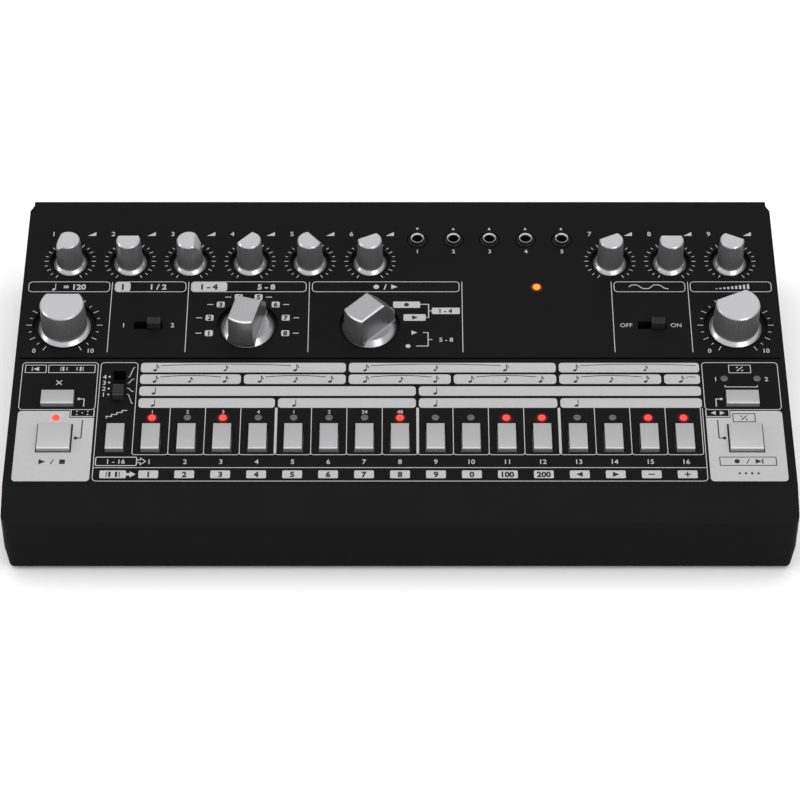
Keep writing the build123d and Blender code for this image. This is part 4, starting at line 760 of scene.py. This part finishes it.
class Print:
    """Marks in one ink on one surface, gathered as thin closed plates; laid out in millimetres."""

    def __init__(self, low, high):
        self.shape = bmesh.new()
        self.low, self.high = low, high
        self.count = 0

    def top(self):
        """Marks in a row end at slightly different heights, so that marks that cross share no face."""
        self.count += 1
        return self.high + HAIR * (self.count % HAIRS)

    def plate(self, outline):
        prism(self.shape, outline, self.low, self.top())

    def box(self, left, low, right, high, radius=0.0):
        self.plate(block(left, low, right, high, radius))

    def stroke(self, points, width=LINE, closed=False):
        """A line of even width with mitred corners."""
        low, high = self.low, self.top()
        spots = [Vector(point) for point in points]
        runs = [(after - here).normalized() for here, after in zip(spots, spots[1:] + spots[:1])]
        if not closed:
            runs[-1] = runs[-2]
        sections = []
        for i, (here, after) in enumerate(zip(spots, runs)):
            before = runs[i - 1] if closed or i else after
            along = (before + after).normalized()
            across = Vector((-along.y, along.x)) * width / 2 / max(MITRE_LIMIT, along.dot(after))
            sections.append([self.shape.verts.new((*(here + across * side), z))
                             for side, z in ((1, low), (1, high), (-1, high), (-1, low))])
        for one, two in zip(sections, sections[1:] + (sections[:1] if closed else [])):
            for a in range(4):
                b = (a + 1) % 4
                self.shape.faces.new((one[a], one[b], two[b], two[a]))
        if not closed:
            self.shape.faces.new(sections[0][::-1])
            self.shape.faces.new(sections[-1])

    def upright(self, u, low, high, width=LINE):
        self.stroke([(u, low), (u, high)], width)

    def level(self, left, right, v, width=LINE):
        self.stroke([(left, v), (right, v)], width)

    def frame(self, left, low, right, high, radius=FRAME_RADIUS, width=LINE):
        self.stroke(block(left, low, right, high, radius), width, closed=True)

    def disc(self, x, y, radius, squash=1.0, lean=0.0):
        outline = []
        for i in range(DISC_SIDES):
            a = math.tau * i / DISC_SIDES
            point = Vector((radius * math.cos(a), radius * squash * math.sin(a)))
            point.rotate(Matrix.Rotation(lean, 2))
            outline.append((x + point.x, y + point.y))
        self.plate(outline)

    def discs(self, spots, radius):
        for x, y in spots:
            self.disc(x, y, radius)

    def triangle(self, x, y, size, turn=0):
        """An arrow head, pointing right before it is turned by degrees."""
        corners = [Vector(share) * size for share in ((0.55, 0), (-0.45, 0.5), (-0.45, -0.5))]
        for corner in corners:
            corner.rotate(Matrix.Rotation(math.radians(turn), 2))
        self.plate([(x + c.x, y + c.y) for c in corners])

    def text(self, words, x, y, height, weight=0.012):
        """Words or numbers centred on a spot, with capitals of the given height."""
        curve = bpy.data.curves.new("lettering", "FONT")
        curve.body = words
        curve.extrude = 0.5  # which makes it one deep
        curve.offset = weight
        curve.resolution_u = 3
        mesh = bake(new_object("lettering", curve))
        xs = [v.co.x for v in mesh.vertices]
        size = height / CAPITAL_HEIGHT
        middle = Vector(((min(xs) + max(xs)) / 2, CAPITAL_HEIGHT / 2, 0))
        high = self.top()
        mesh.transform(Matrix.Translation((x, y, (self.low + high) / 2))
                       @ Matrix.Diagonal((size, size, high - self.low, 1)) @ Matrix.Translation(-middle))
        absorb(self.shape, mesh)

    def texts(self, labels, row, height, weight=0.012):
        """Several words or numbers in a row, given with the place of each."""
        for words, x in labels:
            self.text(words, x, row, height, weight)

    def note(self, x, y, flagged=False, scale=1.0):
        """A music note: an oval head with its stem upwards, and a flag where it is a short one."""
        self.disc(x, y, 0.8 * scale, 0.66, 0.4)
        stem, top = x + 0.62 * scale, y + 3.1 * scale
        self.upright(stem, y + 0.1, top, 0.3)
        if flagged:
            flag = ((0, -0.1 / scale), (0.25, -0.7), (0.75, -1.3), (0.6, -2.0))
            self.stroke([(stem + across * scale, top + up * scale) for across, up in flag], 0.34)

    def slur(self, left, right, y, rise=0.8):
        self.stroke([(left + (right - left) * share, y + rise * 4 * share * (1 - share))
                     for share in (i / SLUR_STEPS for i in range(SLUR_STEPS + 1))], 0.32)

    def finish(self, name, material, place):
        bmesh.ops.remove_doubles(self.shape, verts=self.shape.verts, dist=SMALLEST_GAP)
        add_piece(name, to_mesh(name, self.shape, place), "case", materials=[material])


PRINT_MIDDLE = 42.5  # the panel's marks are laid out from this line, measured up from the crease
HEADER_LOW, HEADER_HIGH = 57.0, 62.4
HEADER_LINES = 24.8  # the lines between the sections start here
UPPER_EDGE = 19.3  # top of the frames round the keys
SWITCH_LABELS = 39.1  # the row of marks beside the slide switches
STEP_NUMBERS = -31.0
KEY_LABELS = -37.3
LABEL_LOW, LABEL_HIGH = -39.2, -35.4
CELL_LEFT, CELL_PITCH = -103.6, 13.81  # the cells round the step keys
CELL_FOOT, CELL_LOW, CELL_RADIUS = -26.5, -27.6, 1.0
DIAL_REACHES = ("Inner", "Long_Outer", "Short_Inner", "Short_Outer")
DIAL_SIZES = {"small": dict(zip(DIAL_REACHES, (8.8, 10.45, 9.3, 10.45))),
              "large": dict(zip(DIAL_REACHES, (12.95, 15.3, 13.3, 14.5)))}
DIAL_STROKES = 21
DIAL_STEP = math.radians(15)


def print_headers(light, dark):
    """Boxes over the sections and the lines between them."""
    middle = (HEADER_LOW + HEADER_HIGH) / 2
    for left, right in ((-150, -117.3), (-115.1, -86.5), (-84.3, -37.9), (-35.4, 23.9), (86.5, 115.1),
                        (117.3, 150)):
        light.frame(left, HEADER_LOW, right, HEADER_HIGH)
    for left, right in ((-115.1, -108.9), (-84.3, -69.8)):
        light.box(left, HEADER_LOW, right, HEADER_HIGH, FRAME_RADIUS)
    for u in (-116.3, -85.4, -36.6, 25.0, 85.4, 116.3):
        light.upright(u, HEADER_LINES, HEADER_HIGH)
    light.note(-139.8, middle - 1.4)
    light.texts((("= 120", -131.4), ("1 / 2", -97.5), ("5 - 8", -54.0)), middle, 2.8, 0.03)
    dark.text("1", -112.0, middle, 2.9, 0.05)
    dark.text("1 - 4", -77.0, middle, 2.8, 0.05)
    light.disc(-9.6, middle, 1.15)
    light.text("/", -6.0, middle, 2.8, 0.03)
    light.triangle(-2.4, middle, 2.5)
    clipped_wave = [max(-1.0, min(1.0, 1.5 * math.sin(0.7 * i))) for i in range(17)]
    light.stroke([(92.5 + i, middle + rise) for i, rise in enumerate(clipped_wave)], 0.4)
    for i in range(9):
        light.box(127.4 + i * 1.6, middle - 1.2, 128.3 + i * 1.6, middle - 0.9 + 0.28 * i)


def print_selectors(light, dark):
    """Numbers round the eight-way selector and the marks of the four-way one."""
    places = ((-76.3, 34.8), (-76.3, 43.0), (-72.1, 50.1), (-65.0, 54.1), (-57.0, 54.1), (-50.0, 50.1),
              (-45.8, 43.0), (-45.8, 34.8))
    for number, (u, v) in enumerate(places, 1):
        light.box(u - 1.6, v - 1.55, u + 1.6, v + 1.55, 0.6)
        dark.text(str(number), u, v, 2.35, 0.04)
        side = -1 if number < 5 else 1
        light.level(u + side * 3.0, u + side * 5.4, v, 0.4)
    for label in ((-2.8, 48.3, 8.1, 51.7), (1.4, 41.4, 10.3, 44.9), (12.8, 45.0, 24.0, 48.4)):
        light.box(*label, LABEL_RADIUS)
    dark.disc(2.6, 50.0, 1.0)
    dark.triangle(5.9, 43.15, 2.3)
    dark.text("1 - 4", 18.4, 46.7, 2.2, 0.035)
    light.stroke([(8.1, 50.2), (11.5, 50.2), (11.5, 43.2), (10.3, 43.2)], 0.4)
    light.level(11.5, 12.8, 46.7, 0.4)
    light.triangle(5.6, 35.1, 2.3)
    light.disc(3.2, 28.0, 1.0)
    light.stroke([(9.2, 35.1), (11.2, 35.1), (11.2, 28.0), (6.4, 28.0)], 0.4)
    light.level(11.2, 12.8, 31.4, 0.4)
    light.text("5 - 8", 18.4, 31.4, 2.2)


def print_upper_row(light):
    """Numbers at the small knobs and jacks, at the slide switches and at the outermost knobs."""
    for number in range(1, 10):
        u, _ = panel_place(f"level_knob_{number}")
        light.text(str(number), u - 7.7, 88.9, 2.4)
        light.plate([(u + 6.3, 87.8), (u + 9.7, 87.8), (u + 9.7, 89.9)])
    for number in range(JACK_COUNT):
        u = JACK_FIRST + JACK_PITCH * number
        light.triangle(u, 91.7, 1.3, -90 if number == 0 else 90)
        light.text(str(number + 1), u, 79.2, 2.1)
    light.texts((("OFF", 90.5), ("ON", 110.4)), SWITCH_LABELS, 2.1, 0.0)
    light.texts((("1", -110.5), ("2", -91.0)), SWITCH_LABELS, 2.3)
    for middle in (-END_COLUMN, END_COLUMN):
        light.texts((("0", middle - 11.2), ("10", middle + 11.4)), 25.6, 2.2)


def print_corner(light, dark, side):
    """The frame round the small key and the light block round the square one, on either side."""
    inner, outer, notch, key, dot, link = (side * u for u in (119.3, 149.2, 129.0, END_COLUMN, 125.9, 123.8))
    frame_low, gap = -4.9, 0.2
    top, bottom, shelf = -5.6, -40.7, -8.45
    low, high, half = -26.5, -12.3, 6.95
    near, far = key - side * half, key + side * half
    light.frame(inner, frame_low, outer, UPPER_EDGE)
    light.plate(rounded([(key, top), (outer, top), (outer, bottom), (key, bottom), (key, low), (far, low),
                         (far, high), (key, high)], (1, 2)))
    light.plate(rounded([(key, top), (notch, top), (notch, -9.05), (inner, -9.05), (inner, bottom),
                         (key, bottom), (key, low), (near, low), (near, high), (key, high)], (4,)))
    light.stroke([(inner + side * gap, frame_low), (inner + side * gap, shelf), (notch - side * 0.5, shelf),
                  (notch - side * 0.5, frame_low)], 0.4)
    light.disc(dot, 0.5, 0.6)
    light.stroke([(dot, 0.5), (link, 0.5), (link, -3.4)], 0.4)
    dark.disc(dot, -19.3, 0.75)
    dark.stroke([(link, -10.2), (link, -19.3), (dot, -19.3)], 0.45)


def boxed_ratio(ink, low, high, width=LINE):
    """A slash between two dots in a small frame, at the right-hand keys."""
    ink.frame(129.9, low, 138.5, high, 0, width)
    ink.stroke([(133.0, low + 0.9), (135.4, low + 3.1)], 0.4)
    ink.discs(((133.2, low + 2.8), (135.2, low + 1.2)), 0.36)


def print_left_marks(light, dark):
    """The small signs at the start, write and function keys."""
    light.frame(-148.0, 14.1, -139.8, 18.0, 0)
    light.frame(-138.8, 14.1, -120.5, 18.0, 0)
    light.triangle(-143.6, 16.0, 2.2, 180)
    for u, width in ((-145.3, 0.35), (-134.0, 0.3), (-133.0, 0.7), (-126.2, 0.7), (-125.2, 0.3)):
        light.upright(u, 15.0, 17.1, width)
    light.discs([(u, v) for u in (-131.6, -127.6) for v in (15.6, 16.5)], 0.3)
    for turn in (-1, 1):
        light.stroke([(-END_COLUMN - 1.1, 8.9 - 1.1 * turn), (-END_COLUMN + 1.1, 8.9 + 1.1 * turn)], 0.42)
    light.discs(((-126.2, -5.8), (-122.0, -5.8), (-124.1, -6.6), (-126.2, -7.4), (-122.0, -7.4)), 0.32)
    dark.triangle(-138.2, -31.1, 2.6)
    dark.stroke([(-134.8, -32.3), (-133.6, -29.9)], 0.35)
    dark.box(-131.4, -32.2, -129.2, -30.0)


def print_right_marks(light, dark):
    """The small signs at the group and clear keys."""
    boxed_ratio(light, 14.0, 18.0)
    light.texts((("1", 124.4), ("2", 144.4)), 10.8, 2.2)
    light.stroke([(127.8, 7.6), (127.8, 6.7), (140.6, 6.7), (140.6, 7.6)], 0.35)
    light.triangle(122.4, -6.6, 2.0, 180)
    light.triangle(125.8, -6.6, 2.0)
    boxed_ratio(dark, -11.1, -7.0, 0.35)
    dark.frame(123.4, -32.9, 145.1, -28.8, 0, 0.35)
    dark.disc(130.0, -30.85, 1.05)
    dark.stroke([(133.6, -32.0), (134.8, -29.7)], 0.35)
    dark.triangle(138.2, -30.85, 2.4)
    dark.box(139.6, -32.05, 140.1, -29.65)
    dark.discs([(END_COLUMN - 3.6 + 2.4 * i, -36.8) for i in range(4)], 0.5)


def print_scale(light, dark):
    """The frame round the scale switch, its four positions and the signs at the strip's left end."""
    left, right, bottom = -118.2, 118.2, -40.6
    light.stroke(rounded([(right, -4.1), (right, bottom), (left, bottom), (left, UPPER_EDGE),
                          (CELL_LEFT, UPPER_EDGE), (CELL_LEFT, -26.6)], range(1, 5)))
    light.level(left, right, -34.0)
    for digit, v in ((4, 11.95), (3, 8.95), (2, 5.85), (1, 2.8)):
        light.disc(-114.5, v, 0.45)
        light.text(str(digit), -116.4, v, 2.2)
    for curve in (((-107.2, 11.7), (-106.6, 11.9), (-105.2, 16.6), (-104.6, 16.9)),
                  ((-107.2, 8.6), (-106.6, 8.8), (-105.5, 10.6), (-104.6, 10.8)),
                  ((-107.3, 6.0), (-106.6, 5.9), (-105.4, 4.5), (-104.6, 4.3)),
                  ((-107.2, 2.9), (-106.5, 2.7), (-105.2, -1.5), (-104.6, -1.8))):
        light.stroke(curve, 0.32)
    stair = [(-114.6, -9.4)]
    for i in range(4):
        stair += [(-114.6 + 2 * i, -8.4 + i), (-112.6 + 2 * i, -8.4 + i)]
    light.stroke(stair, 0.4)
    light.frame(-117.4, -33.0, -101.6, -28.8, 0.6, 0.38)
    light.stroke([(-101.6, -30.2), (-100.1, -30.2), (-100.1, -29.2), (-98.2, -30.9), (-100.1, -32.6),
                  (-100.1, -31.6), (-101.6, -31.6)], 0.38)
    light.text("1 - 16", -109.5, -30.9, 2.3)
    light.box(-115.5, LABEL_LOW, -105.3, LABEL_HIGH, LABEL_RADIUS)
    light.plate([(-105.4, -36.7), (-103.9, -36.7), (-103.9, -35.8), (-101.6, KEY_LABELS), (-103.9, -38.8),
                 (-103.9, -37.9), (-105.4, -37.9)])
    for u, width in ((-112.9, 0.35), (-111.7, 0.9), (-109.1, 0.9), (-107.9, 0.35)):
        dark.upright(u, -38.6, -36.0, width)


def print_steps(light, dark):
    """Cells round the step keys, their numbers and the labels in the strip under them."""
    edges = [CELL_LEFT + CELL_PITCH * i for i in range(STEP_COUNT + 1)]
    for i, u in enumerate(edges[1:], 1):
        light.upright(u, -4.0, -26.7, 1.0 if i in (4, 8, 12) else LINE)
    for left, right in zip(edges, edges[1:]):
        light.stroke(rounded([(left, CELL_FOOT), (left, CELL_LOW), (right, CELL_LOW), (right, CELL_FOOT)],
                             (1, 2), CELL_RADIUS))
    labels = [*"1234567890", "100", "200"]
    small = ("1", "2", "3", "4", "1", "2", "24", "48")
    for number in range(1, STEP_COUNT + 1):
        u = step_u(number)
        light.text(str(number), u, STEP_NUMBERS, 2.3)
        light.box(u - 3.8, LABEL_LOW, u + 3.8, LABEL_HIGH, LABEL_RADIUS)
        if number <= len(labels):
            dark.text(labels[number - 1], u, KEY_LABELS, 2.6, 0.045)
        if number <= len(small):
            light.text(small[number - 1], u, -6.0, 1.7)
    dark.triangle(step_u(13), KEY_LABELS, 2.5, 180)
    dark.triangle(step_u(14), KEY_LABELS, 2.5)
    for number in (15, 16):
        dark.level(step_u(number) - 1.3, step_u(number) + 1.3, KEY_LABELS, 0.5)
    dark.upright(step_u(16), -38.6, -36.0, 0.5)


def print_note_bars(light, dark):
    """Four rows of light bars that show note lengths, each over the steps that it spans."""
    start, end = -102.4, 118.8
    for high, low, joins in ((19.15, 14.2, (-20.8, 62.15)),
                             (13.15, 8.25, (-62.1, -20.8, 20.6, 62.15, 103.5)),
                             (7.0, 2.15, (6.8,)),
                             (0.85, -4.0, (-48.4, 6.8, 62.2))):
        for left, right in zip((start - 0.6, *joins), (*joins, end)):
            light.box(left + 0.6, low, right - 0.6, high, 1.3)
    for first in (1, 7, 13):
        dark.note(step_u(first), 15.3, True)
        dark.note(step_u(first + 2), 15.3, True, 0.8)
        last = step_u(first + 4) if first < 13 else 118.5
        if first < 13:
            dark.note(last, 15.3, True)
        dark.slur(step_u(first) + 2.2, last - 1.6, 17.7)
    for first in (1, 4, 7, 10, 13):
        for number in (first, first + 1, first + 2):
            dark.note(step_u(number), 9.4, True, 0.8 if number == first + 1 else 1.0)
        dark.slur(step_u(first) + 2.2, step_u(first + 2) - 1.4, 11.8)
    dark.note(step_u(16), 9.4, True)
    dark.slur(step_u(16) + 2.2, 116.6, 11.6, 0.3)
    for numbers, v in (((1, 9), 3.3), ((1, 5, 9, 13), -2.9)):
        for number in numbers:
            dark.note(step_u(number), v)


def print_dials(light):
    """The scale strokes round every knob."""
    tree = dial_tree()
    for node, size in KNOBS.items():
        u, v = panel_place(node)
        place = AS_IT_IS @ Matrix.Translation((u, v - PRINT_MIDDLE, (LIGHT_LOW + LIGHT_HIGH) / 2))
        mesh = tree.grow("dial", LIGHT_INK, place, Count=DIAL_STROKES, Step=DIAL_STEP, Stroke=0.30,
                         Thickness=LIGHT_HIGH - LIGHT_LOW, **DIAL_SIZES[size])
        absorb(light.shape, mesh)


def print_panel():
    light, dark = Print(LIGHT_LOW, LIGHT_HIGH), Print(DARK_LOW, DARK_HIGH)
    print_headers(light, dark)
    print_selectors(light, dark)
    print_upper_row(light)
    for side in (-1, 1):
        print_corner(light, dark, side)
    print_left_marks(light, dark)
    print_right_marks(light, dark)
    print_scale(light, dark)
    print_steps(light, dark)
    print_note_bars(light, dark)
    print_dials(light)
    light.finish("panel_print_light", LIGHT_INK, on_panel(0, PRINT_MIDDLE))
    dark.finish("panel_print_dark", DARK_INK, on_panel(0, PRINT_MIDDLE))


print_panel()


# -------------------- keys
KEY_TOP = 2.0
KEY_BEVEL_DROP = 0.45
BEVEL_SLIMMED = (0.4, 0.2)  # the front bevel is this much shorter and lower than the plain block's
NEAR = 0.01  # two heights or depths closer than this are the same
KEY_EDGE = 0.10  # width of the rounding on a key's edges
CAP_EDGE = 0.08
FLAT = math.radians(1)  # faces that meet at less than this are one
SHARP = math.radians(20)  # an edge that turns by more than this is rounded


def slim_bevel(shape):
    """Moves the two front edges of a key's bevel closer together."""
    to_panel = (TO_METRES @ PANEL).inverted()
    spots = [(vert, to_panel @ vert.co) for vert in shape.verts]
    front = min(spot.y for _, spot in spots if abs(spot.z - KEY_TOP) < NEAR)
    for vert, spot in spots:
        if abs(spot.z - KEY_TOP) < NEAR and spot.y - front < NEAR:
            spot.y -= BEVEL_SLIMMED[0]
        elif abs(spot.z - KEY_TOP + KEY_BEVEL_DROP) < NEAR:
            spot.z += BEVEL_SLIMMED[1]
        vert.co = TO_METRES @ PANEL @ spot


def soften(node, material, width, shaped=None):
    """Replaces a moulded piece with the same form, its sharp edges rounded as a mould leaves them."""
    shape = bmesh.new()
    shape.from_mesh(NODES[node].data)
    bmesh.ops.transform(shape, matrix=NODES[node].matrix_world, verts=shape.verts)
    if shaped:
        shaped(shape)
    bmesh.ops.remove_doubles(shape, verts=shape.verts, dist=SMALLEST_GAP * MM)
    bmesh.ops.dissolve_limit(shape, angle_limit=FLAT, verts=shape.verts, edges=shape.edges)
    edges = [edge for edge in shape.edges if edge.calc_face_angle(0.0) > SHARP]
    bmesh.ops.bevel(shape, geom=edges, offset=width * MM, segments=2, profile=0.6, affect="EDGES",
                    clamp_overlap=True)
    add_cap(node, shape, AS_IT_IS, material, smooth_angle=35)


STEP_KEYS = [f"step_key_{number:02d}" for number in range(1, STEP_COUNT + 1)]
for node in [*STEP_KEYS, "function_key", "clear_key", "group_key"]:
    soften(node, KEY, KEY_EDGE, slim_bevel)
for node in ("start_key", "write_key"):
    soften(node, LARGE_KEY, KEY_EDGE, slim_bevel)
for node in ("tone_slider", "drive_slider", "power_slider"):
    soften(node, CAP_BLACK, CAP_EDGE)
soften("scale_slider", CAP_GREY, CAP_EDGE)


# -------------------- lamps, sockets
LAMP_RADIUS = 1.45
LENS_HEIGHT = 0.42
LENS_RISE = 0.06  # a lens's middle stands this far above the panel
LAMP_ROW = 33.35
GROUP_LAMP_ROW = 53.3
GROUP_LAMP_SPREAD = 6.45
LIT_STEPS = (1, 3, 8, 11, 12, 15, 16)
START_LAMP = (-END_COLUMN, LAMP_ROW)
POWER_LAMP = (55.2, 102.0)
# The glow round a lit lamp is painted light: emission on a thin disc that stands in for the light the lamp
# casts on the panel.
GLOW_REACH = 2.9  # the glow on the panel fades out at this radius
GLOW_HIDDEN = LAMP_RADIUS * 0.7  # and is under the lens within this one
GLOW_RINGS, GLOW_SIDES = 8, 32
GLOW_THICKNESS = 0.02
GLOW_GAIN, GLOW_FALL = 2.0, 2.2


def glow_finish(finish, name, colour, strength):
    """The surface round a lit lamp: its own finish, with the lamp's light on it painted in as emission that
    fades outwards.
    """
    fade = finish.add("ShaderNodeAttribute", attribute_name="fade").outputs["Fac"]
    power = finish.add("ShaderNodeMath", {0: fade, 1: strength}, operation="MULTIPLY").outputs[0]
    finish.set("Emission Color", (*colour, 1.0)).set("Emission Strength", power)
    finish.material.name = name
    return finish.material


def add_glow(name, spot, level, material):
    """A thin disc on the panel that carries a lamp's painted glow: the light the lamp casts round itself,
    painted in as emission.
    """
    width = GLOW_REACH - GLOW_HIDDEN
    radii = [GLOW_REACH - width * i / GLOW_RINGS for i in range(GLOW_RINGS + 1)]
    foot = level - GLOW_THICKNESS
    shape = turned([(0, foot), (GLOW_REACH, foot), *((radius, level) for radius in radii), (0, level)],
                   GLOW_SIDES)
    fade = shape.verts.layers.float.new("fade")
    for vert in shape.verts:
        out = max(0.0, 1 - math.hypot(vert.co.x, vert.co.y) / GLOW_REACH)
        vert[fade] = min(1.0, (out * GLOW_GAIN) ** GLOW_FALL)
    add_piece(name, to_mesh(name, shape, on_panel(*spot)), "case", materials=[material])


def add_lenses(name, spots, material):
    mesh = LENSES.grow(name, material, PANEL, [(u, v, LENS_RISE) for u, v in spots], Radius=LAMP_RADIUS,
                       Height=LENS_HEIGHT)
    add_piece(name, weld(mesh), "case", smooth_angle=50)


LENSES = lens_tree()
STEP_LAMPS = {number: (step_u(number), LAMP_ROW) for number in range(1, STEP_COUNT + 1)}
GROUP_LAMPS = [(END_COLUMN + side * GROUP_LAMP_SPREAD, GROUP_LAMP_ROW) for side in (-1, 1)]
add_lenses("lit_lenses", [START_LAMP] + [STEP_LAMPS[n] for n in LIT_STEPS], LIT_RED)
add_lenses("unlit_lenses", [spot for n, spot in STEP_LAMPS.items() if n not in LIT_STEPS] + GROUP_LAMPS,
           UNLIT)
add_lenses("power_lens", [POWER_LAMP], LIT_AMBER)

# Painted glows: the lamps' light on the bare panel and on the printed block, painted in as emission.
PANEL_GLOW = glow_finish(case_finish(), "panel_glow", (1.0, 0.02, 0.02), 0.34)
INK_GLOW = glow_finish(ink_finish("ink_glow", 0.40), "ink_glow", (1.0, 0.10, 0.08), 0.35)
AMBER_GLOW = glow_finish(case_finish(), "amber_glow", (1.0, 0.16, 0.01), 0.45)
ON_PLASTIC, ON_INK = 0.02, 0.045  # the glows' heights on the bare panel and on the printed block
for number in LIT_STEPS:
    add_glow(f"step_glow_{number:02d}", STEP_LAMPS[number], ON_PLASTIC, PANEL_GLOW)
add_glow("start_glow", START_LAMP, ON_INK, INK_GLOW)
add_glow("power_glow", POWER_LAMP, ON_PLASTIC, AMBER_GLOW)

JACK_TOP = 0.9
COLLAR = {"Radius": 2.46, "Lip": 0.14, "Run": 0.34, "Rise": 0.5, "Sunk": 0.02, "Sides": RING_SIDES}
collars = sleeve_tree().grow("panel_jack_rings", NICKEL, PANEL,
                             [(JACK_FIRST + JACK_PITCH * i, JACK_ROW, JACK_TOP) for i in range(JACK_COUNT)],
                             **COLLAR)
add_piece("panel_jack_rings", weld(collars), "case", smooth_angle=30)

# -------------------- the back
PLATE_FACE = 80.0  # the rear plate's outer face
BACK = Matrix(((-1, 0, 0, 0), (0, 0, 1, PLATE_FACE), (0, 1, 0, 0), (0, 0, 0, 1)))
VOICE_COUNT = 8
VOICE_XS = [36 + 11.5 * i for i in range(VOICE_COUNT)]
VOICE_Z, VOICE_TOP = 18.75, 1.3
MAIN_JACK = (15.17, 20.75)
MAIN_JACK_TOP = 1.8
DATA_XS = (-37.0, -10.17)
SQUARE_X, INLET_X = -60.83, -80.17
SWITCH_X, SWITCH_Z = -102.0, 17.5
BACK_FRAME_LOW, BACK_FRAME_HIGH = 11.0, 31.5
INLET_MARK = 28.6
RINGS = ring_tree()


def add_rings(name, points, radius, wire):
    mesh = RINGS.grow(name, NICKEL, BACK, points, Radius=radius, Wire=wire, Sides=RING_SIDES)
    add_piece(name, weld(mesh), "case", smooth_angle=60)


def print_back():
    """Numbers over the sockets at the back, and frames round them; across is -x, as seen from behind."""
    light = Print(LIGHT_LOW, LIGHT_HIGH)
    light.texts([(str(number), -x) for number, x in enumerate(VOICE_XS, 1)], 26.6, 2.3)
    light.frame(-124.0, BACK_FRAME_LOW, -28.5, BACK_FRAME_HIGH)
    light.text("9", -MAIN_JACK[0], 30.6, 2.3)
    light.frame(-26.0, BACK_FRAME_LOW, -4.0, 34.5)
    for turn, x in zip((90, -90), DATA_XS):
        light.triangle(-x, 33.5, 1.8, turn)
    light.frame(-2.0, BACK_FRAME_LOW, 47.5, 36.0)
    light.frame(-SQUARE_X - 1.1, 27.5, -SQUARE_X + 1.1, 29.7, 0, 0.35)
    light.disc(-INLET_X, INLET_MARK, 0.6)
    open_ring = [0.5 + math.tau * i / 20 for i in range(18)]
    light.stroke([(-INLET_X + 1.5 * math.cos(a), INLET_MARK + 1.5 * math.sin(a)) for a in open_ring], 0.35)
    light.texts((("ON", -SWITCH_X - 9.2), ("OFF", -SWITCH_X + 9.6)), SWITCH_Z, 2.2)
    light.frame(52.5, BACK_FRAME_LOW, 118.5, BACK_FRAME_HIGH)
    light.finish("rear_print", LIGHT_INK, BACK)


add_rings("voice_jack_rings", [(-x, VOICE_Z, VOICE_TOP) for x in VOICE_XS], radius=2.4, wire=0.26)
add_rings("main_jack_ring", [(-MAIN_JACK[0], MAIN_JACK[1], MAIN_JACK_TOP)], radius=3.9, wire=0.4)
print_back()
